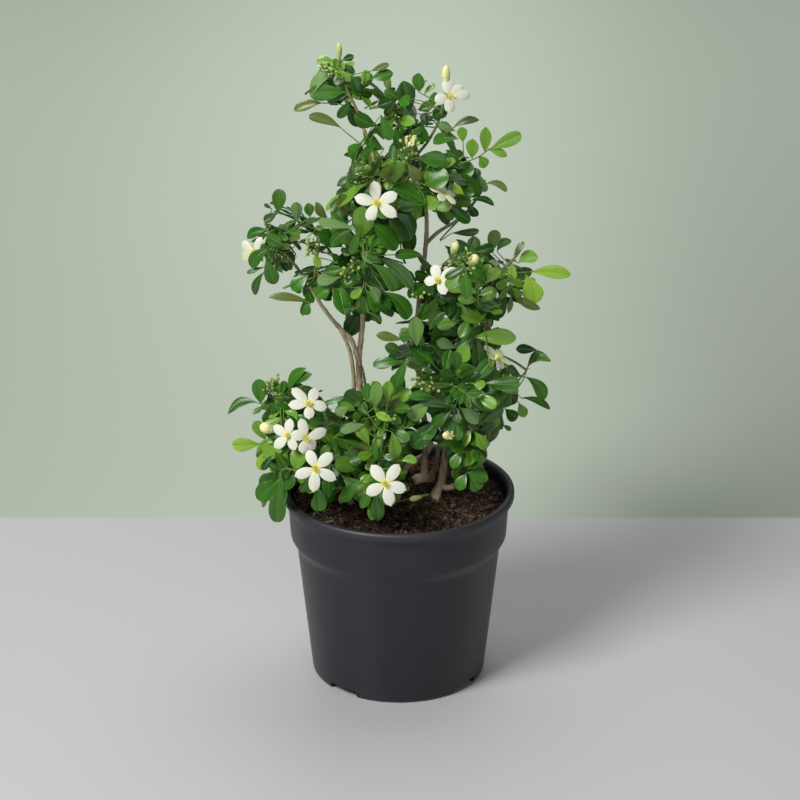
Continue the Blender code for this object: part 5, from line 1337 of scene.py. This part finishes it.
def fits(points):  # inside the part's box, and clear of the pot and of what is in it
    low, high = (np.array(corner) / mm for corner in cadBox)
    low, high = low + fill["inside"], high - fill["inside"]
    far = np.hypot(points[:, 0], points[:, 1])
    (bed, bedTop), (lip, lipTop) = fill["bedTop"], fill["lipTop"]
    floor = np.where(far < bed, bedTop, np.where(far < lip, lipTop, -1.0))
    return bool(((points > low) & (points < high)).all() and (points[:, 2] > floor).all())


class Cover:  # the cells of one view: which are wanted green, and how many leaves are there
    def __init__(self, wanted, cellOf):
        self.wanted, self.cellOf = wanted, cellOf
        self.count = np.zeros(wanted.size, int)

    def cells(self, points):
        row, column = self.cellOf(points)
        rows, columns = self.wanted.shape
        held = (row >= 0) & (row < rows) & (column >= 0) & (column < columns)
        return np.unique(row[held] * columns + column[held])

    def stray(self, cells):
        return float((~self.wanted.flat[cells]).mean()) if len(cells) else 1.0

    def fresh(self, cells):
        return int((self.wanted.flat[cells] & (self.count[cells] == 0)).sum())

    def keep(self, cells):
        self.count[cells] += 1


def photoCell(points):
    u, v, _ = seen(points)
    return (v / fill["cell"]).astype(int), (u / fill["cell"]).astype(int)


def photoIndex(points):  # the same cells, by number
    row, column = photoCell(points)
    return row * math.ceil(view["size"] / fill["cell"]) + column


def backCell(points):
    row, column = points[:, 2] / fill["cell"], (points[:, 0] + fill["backSide"]) / fill["cell"]
    return row.astype(int), column.astype(int)


def pixelGrid():  # the pixel at the middle of each cell, down and across
    size = math.ceil(view["size"] / fill["cell"])
    return (np.indices((size, size)) + 0.5) * fill["cell"]


def wantedCells():  # in the photograph, and where the same masses are seen level, from behind
    v, u = pixelGrid()
    shown = np.any([within(mass, u, v) for mass in masses], axis=0)
    clear = np.any([np.hypot(u - a, v - b) < r for a, b, r in gaps], axis=0)
    z, x = (np.indices(fill["backCells"]) + 0.5) * fill["cell"]
    y = np.full(x.size, fill["backPlane"])
    u, v, _ = seen(np.stack([x.ravel() - fill["backSide"], y, z.ravel()], axis=1))
    behind = np.any([within(mass, u, v) for mass in masses], axis=0).reshape(x.shape)
    return shown & ~clear, clear, behind


def keepClear():  # how far ahead of the camera the nearest flower or large bud is, in each cell
    v, u = pixelGrid()
    nearest = np.zeros(u.shape)

    def block(start, stop, half, depth):
        (a, b), (c, d) = start, stop
        span = max((c - a) ** 2 + (d - b) ** 2, 1e-6)
        share = np.clip(((u - a) * (c - a) + (v - b) * (d - b)) / span, 0, 1)
        inside = np.hypot(u - a - share * (c - a), v - b - share * (d - b)) < half
        nearest[inside] = np.maximum(nearest[inside], depth)

    for centre, y, *_, tips in flowers.values():
        depth = float(seen(placeAt(*centre, y))[2][0])
        for tip in tips:
            block(centre, tip, fill["aroundPetal"], depth)
        if not tips:
            block(centre, centre, fill["aroundFlower"], depth)
    share, more = fill["aroundBud"]
    for foot, tip, radius, *_ in bigBuds.values():
        (a, c), (b, d), depth = seen([foot, tip])
        block((a, b), (c, d), radius * share + more, float(depth.min()))
    return nearest.ravel()


def twigPlaces():  # where a leaf can grow: the spray, the point, and the spray's foot
    found = []
    for name, parts in sprays.items():
        low = 0.45 if parts.get("shoot") else 0.2
        for path in map(vectors, parts["twigs"]):
            found += [(name, pointAt(path, low + (1 - low) * k / 8)[0], path[0]) for k in range(9)]
    return found


def nearestOn(paths, spot):
    places = (pointAt(path, k / 24)[0] for path in paths for k in range(25))
    return min(places, key=lambda place: (place - spot).length)


def drawnLeaflet(row, depth, chance):  # one leaflet between two pixels, facing the camera nearly
    u0, v0, u1, v1, width, tone, bow = (*row, 0)[:7]
    root, tip = placeAt(u0, v0, depth), placeAt(u1, v1, depth + chance.uniform(-4, 2))
    chord, toward = tip - root, (view["from"] - root).normalized()
    way, bend = chord.normalized(), chance.uniform(0.25, 0.6)
    top = turned(square(toward + up * 0.25, way), way, chance.uniform(-0.35, 0.35))
    size = float(seen(root)[2][0]) / view["focal"]
    wide = width * size / max(0.78, abs(top.dot(toward)))
    ahead = turned(way, top.cross(way), -bend / 2)
    top = square(top, ahead)
    long, sway = chord.length * (bend / 2) / math.sin(bend / 2), bow * size
    if tone == "pale":  # its under side is seen
        top, bend, sway = -top, -bend, -sway
    leaflet = (root, ahead, top, long, wide, bend, chance.uniform(-0.2, 0.2), sway)
    while not fits(leafletPoints(leaflet)) and long > 6:
        long *= 0.97
        leaflet = (*leaflet[:3], long, *leaflet[4:])
    return leaflet


class Garden:  # gathers the leaves of every spray before its mesh is made
    def __init__(self):
        shown, self.open, behind = wantedCells()
        self.front, self.back = Cover(shown, photoCell), Cover(behind, backCell)
        self.clear = keepClear()
        self.drawnAhead = np.full(shown.size, np.inf)  # how far ahead the nearest drawn leaflet is
        self.leaves, self.leaflets, self.stems = ({name: [] for name in sprays} for _ in range(3))
        self.places = twigPlaces()
        front = np.stack(seen([spot for _, spot, _ in self.places])[:2], axis=1)
        back = np.array([(spot.x + fill["backSide"], spot.z) for _, spot, _ in self.places])
        self.placeSeen = {"front": front, "back": back}

    def keep(self, points):
        self.front.keep(self.front.cells(points))
        self.back.keep(self.back.cells(points[points[:, 1] > fill["backFrom"]]))

    def covers(self, points):  # how many cells of drawn leaflets these points hide
        cells, depth = photoIndex(points), seen(points)[2]
        near = np.isfinite(self.drawnAhead[cells]) & (depth < self.drawnAhead[cells])
        return np.unique(cells[near]).size

    def hides(self, points):  # whether these points are before a flower or run through it, or close a gap
        cells, depth = photoIndex(points), seen(points)[2]
        before = (self.clear[cells] > 0) & (depth < self.clear[cells] + fill["behind"])
        return bool(self.open.flat[cells].any() or before.any())

    def drawLeaflet(self, name, row, depth, paths, chance):
        leaflet = drawnLeaflet(row, depth, chance)
        root, way = leaflet[:2]
        start = nearestOn(paths, root)
        reach = (start - root).length
        if reach > 0.6:
            middle = start.lerp(root, 0.5) - way * 0.06 * reach + up * 0.04 * reach
            self.stems[name].append(([start, middle, root, root + way * 2.0], 0.42, 0.26))
        self.leaflets[name].append((leaflet, row[5], chance.randrange(10000)))
        points = leafletPoints(leaflet)
        np.minimum.at(self.drawnAhead, photoIndex(points), seen(points)[2])
        self.keep(points)

    def drawAll(self):
        for name, depth, ribs, rows in drawn:
            chance = random.Random(f"{name}{depth}")
            paths = [vectors(points) for points in sprays[name]["twigs"]]
            for rib in ribs:
                spots = [placeAt(u, v, depth) for u, v in rib]
                spots = [nearestOn(paths, spots[0])] + spots
                self.stems[name].append((spots, 0.62, 0.36))
                paths.append(spots)
            for row in rows:
                self.drawLeaflet(name, row, depth, paths, chance)

    def setLeaf(self, name, path, place, tip, chance):  # tried a few times, a little farther away each time
        for attempt in range(fill["setTries"]):
            shift = anyWay(chance, -1, 1) * attempt * fill["setShift"]
            count = chance.choice(fill["setLeaflets"])
            made = leafTo(pointAt(path, place)[0], Vector(tip) + shift, path[0], count, chance)
            seed = chance.randrange(10000)
            points = leafPoints(made, seed)
            stray = self.front.stray(self.front.cells(points))
            shaded = self.covers(points) < fill["setHides"]
            if fits(points) and not self.hides(points) and stray < fill["setStray"] and shaded:
                self.leaves[name].append((made, seed, chance.choice(fill["tones"])))
                self.keep(points)
                return

    def setLeaves(self):  # the leaves whose tips the part's source gives too
        for name, parts in sprays.items():
            chance = random.Random(name + " set")
            for key, points in (("out", parts["twigs"][0]), ("sideOut", parts["twigs"][-1])):
                for place, tip in parts.get(key, ()):
                    self.setLeaf(name, vectors(points), place, tip, chance)

    def tryLeaf(self, which, near, aim, chance):  # a leaf over the spot, and how much it adds to the view
        name, base, middle = self.places[near[chance.randrange(len(near))]]
        beyond = chance.uniform(*fill["beyond"])
        if which == "front":
            tip = placeAt(*aim, base.y + chance.uniform(*fill["depth"]))
        else:
            tip = Vector((aim[0] - fill["backSide"], base.y + chance.uniform(*fill["backDepth"]), aim[1]))
        way = tip - base
        if not fill["reach"][0] < way.length + beyond < fill["reach"][1] + 8:
            return None, -1
        made = leafTo(base, tip + way.normalized() * beyond, middle, chance.choice(fill["leaflets"]), chance)
        seed = chance.randrange(10000)
        points = leafPoints(made, seed)
        if not fits(points) or self.hides(points):
            return None, -1
        shown = self.front.cells(points)
        if self.front.stray(shown) > fill["stray"]:
            return None, -1
        if which == "front":
            fresh = self.front.fresh(shown)
        else:
            fresh = self.back.fresh(self.back.cells(points[points[:, 1] > fill["backFrom"]]))
        return (name, made, seed, points), fresh - fill["veil"] * self.covers(points)

    def fillView(self, which, steps, least, start):
        cover, places = (self.front if which == "front" else self.back), self.placeSeen[which]
        chance, wanted = random.Random(start), np.flatnonzero(cover.wanted)
        columns, missed, kept = cover.wanted.shape[1], 0, 0
        for step in range(steps):
            bare = wanted[cover.count[wanted] == 0]
            if len(bare) < fill["bare"] * len(wanted) or missed > fill["giveUp"]:
                break
            target = bare[chance.randrange(len(bare))]
            aim = (np.array([target % columns, target // columns]) + 0.5) * fill["cell"]
            far = np.hypot(*(places - aim).T) / (fill["scale"] if which == "front" else 1.0)
            near = np.flatnonzero((far > fill["near"]) & (far < fill["reach"][1]))
            best, score = None, least
            for _ in range(fill["tries"] if len(near) else 0):
                found, worth = self.tryLeaf(which, near, aim, chance)
                if found and worth > score:
                    best, score = found, worth
            if best:
                name, made, seed, points = best
                self.leaves[name].append((made, seed, chance.choice(fill["tones"])))
                self.keep(points)
                kept, missed = kept + 1, 0
            else:
                missed += 1
        bare = float((cover.count[wanted] == 0).mean())
        print(which, "leaves grown:", kept, "after", step + 1, "tries, still bare:", round(bare, 3))


def growStem(heap, points, foot, tip):  # a rib or a short stalk
    last = len(points) - 1
    path, radii = smoothPath(points, [foot + (tip - foot) * i / last for i in range(last + 1)], 2.5)
    tube(heap, path, radii, 6, thick=0.5, tone=0.5)


def growCall(heap, end, ahead, name, place, chance):  # a stalk from the twig to a flower's or a bud's foot
    start, along = pointAt(vectors(sprays[name]["twigs"][0]), min(place, 0.98))
    reach = (end - start).length
    bend = start + turned(across(along), along, chance.uniform(0, math.tau)) * 0.2 * reach
    before = end - ahead * min(0.35 * reach, 5.0)
    growStalk(heap, [start, start.lerp(bend, 0.5).lerp(before, 0.25), before, end])


def growCalls(heap, name):  # to the flowers and the large buds of one spray
    for held, (centre, y, facing, _, spray, place, _) in flowers.items():
        if spray == name:
            ahead = Vector(facing).normalized()
            end = placeAt(*centre, y) - ahead * (petal["deep"] + 0.05)
            growCall(heap, end, ahead, name, place, random.Random(held))
    for held, (foot, tip, *_, spray, place) in bigBuds.items():
        if spray == name:
            ahead = (Vector(tip) - Vector(foot)).normalized()
            growCall(heap, Vector(foot) - ahead * 0.1, ahead, name, place, random.Random(held))


def growBudHeads(heap, name):
    twig = vectors(sprays[name]["twigs"][0])
    for index, (spray, place, goal, count) in enumerate(budHeads):
        for k in range(count if spray == name else 0):
            chance = random.Random(fill["headSeed"] + 10 * index + k)
            start = pointAt(twig, min(place + 0.05 * k, 1.0))[0]
            end = Vector(goal) + anyWay(chance, -5, 5)
            way = (end - start).normalized()
            middle = start.lerp(end, 0.5) + anyWay(chance, -2, 2)
            growCluster(heap, [start, middle, end - way * 1.2, end + way * 4.6], chance)


def growLeaves(heap, name, garden):
    chance = random.Random(name)
    for points, foot, tip in garden.stems[name]:
        growStem(heap, points, foot, tip)
    for leaflet, tone, seed in garden.leaflets[name]:
        # leaflets drawn light have their top side painted paler, with the under side's colour, as a painted
        # highlight
        olive, pale = float(tone == "olive"), 0.55 * (tone == "light")
        growLeaflet(heap, leaflet, toneOf[tone], random.Random(seed), olive, pale)
    for made, seed, tone in garden.leaves[name]:
        growLeaf(heap, made, seed, tone, 0.8 * (chance.random() < fill["olive"]))


def makeSprays():
    garden, paints = Garden(), [twigPaint(), leafPaint(), budPaint()]
    garden.drawAll()
    garden.setLeaves()
    garden.fillView("front", fill["steps"], fill["least"], fill["seed"])
    garden.fillView("back", fill["backSteps"], fill["backLeast"], fill["backSeed"])
    for name, parts in sprays.items():
        heap = Heap()
        first = leaf["shootFoot" if parts.get("shoot") else "twigFoot"]
        for i, points in enumerate(parts["twigs"]):
            growTwig(heap, points, leaf["sideFoot"] if i else first, leaf["twigEnd"])
        growCalls(heap, name)
        growBudHeads(heap, name)
        growLeaves(heap, name, garden)
        heap.make(name.replace("spray", "leaves"), paints, "leaf", [name])
    grown, placed = (sum(map(len, kind.values())) for kind in (garden.leaves, garden.leaflets))
    print("sprays made:", grown, "leaves and", placed, "drawn leaflets")


makeSprays()


def petalWidth(u, drawn):  # broad from near its foot, widest past the middle, rounded or slightly pointed
    return np.interp(u, petal["along"], np.array(petal["wide"]) - np.array(petal["drawnIn"]) * drawn)


def petalTurns(name, middle, facing, size, tips):  # the angle and the reach of each petal
    if not tips:
        spin = random.Random(name).uniform(0, 72)
        return [(math.radians(spin + 72 * k), petal["even"] * size) for k in range(5)]
    side, found = across(facing), []
    low, high = petal["reach"]
    for u, v in tips:
        way = rayAt(u, v)
        far = (middle - facing * 0.5 - view["from"]).dot(facing) / way.dot(facing)
        spot = view["from"] + way * far - middle
        x, y = spot.dot(side), spot.dot(facing.cross(side))
        found.append((math.atan2(y, x), min(max(math.hypot(x, y), low), high)))
    return found


def growPetal(heap, axes, size, angle, reach, k, cream, chance):
    middle, side, other, facing = axes
    u, v = np.meshgrid(np.array(petal["along"]), np.array(petal["over"], float), indexing="ij")
    half = petal["width"] * size / 2 * petalWidth(u, chance.random()) * chance.uniform(0.96, 1.06)
    r, t = u * reach * (1 - 0.03 * v * v * (u > 0.9)), half * v
    skew = chance.uniform(-0.10, 0.10)
    x = r * math.cos(angle) - t * math.sin(angle)
    y = r * math.sin(angle) + t * math.cos(angle)
    far = np.hypot(x, y)
    rise = petal["rise"] * far - petal["fall"] * far * far / reach
    ripple = petal["ripple"] * np.sin(5 * u + 3 * v + k) * np.abs(v) * u
    rise = rise - petal["hollow"] * t * t + skew * t * u + ripple
    rise = rise + chance.uniform(-0.5, 0.7) * u * u
    points = middle + side * x[..., None] + other * y[..., None] + facing * rise[..., None]
    normal = np.cross(np.gradient(points, axis=0), np.gradient(points, axis=1))
    normal /= np.linalg.norm(normal, axis=-1, keepdims=True)
    edge = thinEdge(*u.shape, petal["edge"])
    for sign, under in ((1, 0.0), (-1, 1.0)):
        layer = (points + normal * edge * petal["thick"] * sign).reshape(-1, 3)
        faces = gridFaces(*u.shape, flip=sign < 0)
        heap.add(layer, faces, share=u.ravel(), off=t.ravel(), under=under, tone=cream)


def growRings(heap, axes, rings, ends, **values):  # the tube under the petals, or the cup between them
    middle, side, other, facing = axes
    count, spots = petal["ring"], []
    for radius, z, _ in rings:
        spots += ringPoints(middle + facing * z, side, other, radius, count)
    share = np.repeat([share for *_, share in rings], count)
    heap.add(spots, ringFaces(len(rings), count) + ends, share=share, **values)


def growFlower(heap, middle, facing, size, petals, creams, chance):
    side = across(facing)
    axes = [np.array(v) for v in (middle, side, facing.cross(side), facing)]
    for k, (angle, reach) in enumerate(petals):
        growPetal(heap, axes, size, angle, reach, k, creams[k % len(creams)], chance)
    growRings(heap, axes, petal["tube"], [tuple(reversed(range(petal["ring"])))], under=1.0, tone=0.6)
    growRings(heap, axes, petal["cup"], [], under=0.0, tone=0.9)


def petalPaint():
    paint = Paint("petalSkin", Specular_IOR_Level=0.35, Subsurface_Weight=0.12, Subsurface_Scale=0.002)
    share, off, under, tone = (paint.attribute(name) for name in ("share", "off", "under", "tone"))
    cloud = paint.grain(240.0, 4.0, 0.6)
    veins = ((off * 5.2 + cloud * 1.4).wave()).step(0.55, 1.0) * (1.0 - share.step(0.75, 1.0))
    mid = 1.0 - off.size().step(0.1, 0.55)
    shaded = (veins * 0.16 + mid * 0.14 * (1.0 - share) + cloud * 0.12).held()
    colour = paint.mix(shaded, petal["white"], petal["shade"])
    colour = paint.mix((1.0 - share.step(0.12, 0.33)) * 0.85, colour, petal["yellow"])
    colour = paint.mix((1.0 - share.step(0.10, 0.17)) * 0.5, colour, petal["lime"])
    colour = paint.mix(under * (1.0 - share.step(0.1, 0.8)) * 0.45, colour, petal["lime"])
    colour = paint.mix(tone * 0.5, colour, petal["lime"])
    paint.link(Base_Color=colour, Roughness=(0.46 + cloud * 0.18).held())
    paint.bump(veins * -0.5 + cloud * 0.6 - mid * 0.5, 0.35, 0.0003)
    return paint.material


# Ten stamens around a style: heights and radii along the style, and a stamen's tip about its top
stamen = {
    "count": 10, "tall": (3.3, 4.0), "out": (1.35, 1.65), "thread": (0.22, 0.18, 0.12),
    "tip": (-0.55, -0.3, 0.1, 0.45, 0.62), "tipRadii": (0.12, 0.36, 0.42, 0.30, 0.08),
    "style": (-0.4, 1.4, 3.0, 3.4, 3.9, 4.2), "styleRadii": (0.35, 0.32, 0.34, 0.62, 0.66, 0.25),
    "styleTones": (0.3, 0.3, 0.4, 0.6, 0.55, 0.5), "styleSides": 9,
    "pale": (0.86, 0.86, 0.66), "lime": (0.62, 0.66, 0.20), "yellow": (0.86, 0.72, 0.16),
    "amber": (0.70, 0.52, 0.08),
}


def growCentre(heap, middle, facing, size, chance):
    side, count = across(facing), stamen["count"]
    for k in range(count):
        way = turned(side, facing, math.tau * k / count + chance.uniform(-0.1, 0.1))
        foot = middle + way * 0.75 * size + facing * 0.2
        top = middle + way * stamen["out"][k % 2] * size + facing * (stamen["tall"][k % 2] * size)
        tube(heap, [foot, foot.lerp(top, 0.5) + way * 0.12, top], stamen["thread"], 5, tone=0.0)
        tip = (facing * 0.7 + way * chance.uniform(0.2, 0.9)).normalized()
        tube(heap, [top + tip * s for s in stamen["tip"]], stamen["tipRadii"], 7, tone=1.0)
    path, sides = [middle + facing * z * size for z in stamen["style"]], stamen["styleSides"]
    tube(heap, path, stamen["styleRadii"], sides, tone=np.repeat(stamen["styleTones"], sides))


def centrePaint():
    paint = Paint("stamens", Roughness=0.55, Specular_IOR_Level=0.3)
    tone, grain = paint.attribute("tone"), paint.grain(2600.0, 3.0, 0.7)
    colour = paint.mix(tone.step(0.0, 0.5), stamen["pale"], stamen["lime"])
    colour = paint.mix(tone.step(0.6, 1.0), colour, stamen["yellow"])
    colour = paint.mix(grain.step(0.5, 0.7) * tone * 0.35, colour, stamen["amber"])
    paint.link(Base_Color=colour, Roughness=0.5 + grain * 0.3)
    paint.bump(grain, 0.5, 0.0002)
    return paint.material


# Large buds: the radius along them, and their colours
bud = {
    "rows": 22, "sides": 40, "along": (0, .08, .3, .62, .8, .92, .98, 1.0),
    "wide": (.40, .52, .80, 1.0, .88, .58, .30, .06), "aside": (3, 1, 0),
    "green": ((0.22, 0.36, 0.06), (0.42, 0.52, 0.14)), "cream": ((0.80, 0.75, 0.28), (0.88, 0.86, 0.50)),
}


def growBigBud(heap, foot, tip, radius, tone):  # five folded petals, wound round each other
    ahead = (tip - foot).normalized()
    side = across(ahead)
    other, rows, sides, spots = ahead.cross(side), bud["rows"], bud["sides"], []
    for s in np.linspace(0, 1, rows):
        wide = np.interp(s, bud["along"], bud["wide"])
        for a in np.linspace(0, math.tau, sides, endpoint=False):
            seam = (a * 5 / math.tau + s * 0.9) % 1.0
            reach = radius * wide * (0.95 + 0.10 * (seam - 0.5) * min(1.0, s * 4))
            spots.append(foot.lerp(tip, s) + (side * math.cos(a) + other * math.sin(a)) * float(reach))
    ends = [tuple(reversed(range(sides))), tuple(range((rows - 1) * sides, rows * sides))]
    heap.add(spots, ringFaces(rows, sides) + ends, share=np.repeat(np.linspace(0, 1, rows), sides), tone=tone)


def growFaded(heap, foot, tip, radius, chance):  # withered petals, curled and narrow
    ahead, length = (tip - foot).normalized(), (tip - foot).length
    tube(heap, [foot, foot.lerp(tip, 0.3), foot.lerp(tip, 0.5)], [0.7, 1.2, 0.9], 9, share=0.4, tone=1.0)
    start, share = foot.lerp(tip, 0.35), np.repeat(np.linspace(.4, 1, 5), 6)
    for k in range(6):
        way = turned(across(ahead), ahead, math.tau * k / 6 + chance.uniform(-0.3, 0.3))
        path = [start + ahead * length * 0.62 * s + way * radius * (0.3 + 1.1 * math.sin(2.2 * s))
                + anyWay(chance, -0.3, 0.3) for s in (0, .25, .5, .75, 1.0)]
        tube(heap, path, [0.5, 0.85, 0.95, 0.7, 0.25], 6, rough=0.6, scale=0.9, share=share, tone=1.0)


def bigBudPaint():
    paint = Paint("budSkin", Specular_IOR_Level=0.4, Subsurface_Weight=0.08, Subsurface_Scale=0.002)
    share, tone = paint.attribute("share"), paint.attribute("tone")
    grain = paint.grain(420.0, 4.0, 0.6)
    green, cream = paint.mix(grain, *bud["green"]), paint.mix(grain, *bud["cream"])
    blend = (share * 0.55 + tone * 0.95 - 0.35 + (grain - 0.5) * 0.3).held()
    paint.link(Base_Color=paint.mix(blend, green, cream), Roughness=(0.40 + grain * 0.2).held())
    paint.bump(grain, 0.35, 0.0003)
    return paint.material


def makeFlowers():
    petals, stamens = petalPaint(), centrePaint()
    for name, (pixel, y, facing, size, _, _, tips) in flowers.items():
        heap, middle, facing = Heap(), placeAt(*pixel, y), Vector(facing).normalized()
        turns, creams = petalTurns(name, middle, facing, size, tips), petal["cream"].get(name, (0.0,))
        growFlower(heap, middle, facing, size, turns, creams, random.Random(name))
        heap.make(name + "_petals", [petals], "petal", [name], sharp=60)
        if tips:
            heap = Heap()
            growCentre(heap, middle, facing, size, random.Random(name + "_centre"))
            heap.make(name + "_stamens", [stamens], "centre", [name + "_centre"])


def makeBigBuds():
    paint = bigBudPaint()
    for name, (foot, tip, radius, tone, kind, _, _) in bigBuds.items():
        heap, foot, tip = Heap(), Vector(foot), Vector(tip)
        if kind != "faded":
            growBigBud(heap, foot, tip, radius, tone)
        if kind == "folded":
            aside = Vector(bud["aside"])
            growFaded(heap, foot + aside * 0.2, tip + aside, radius * 0.7, random.Random(name))
        elif kind == "faded":
            growFaded(heap, foot, tip, radius, random.Random(name))
        heap.make(name.replace("bud_", "largeBud_"), [paint], "bud", [name])


makeFlowers()
makeBigBuds()
print("flowers and buds made")

dressed = [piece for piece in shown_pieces() if "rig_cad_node" not in piece]
print("triangles added:", sum(len(face.vertices) - 2 for piece in dressed for face in piece.data.polygons))
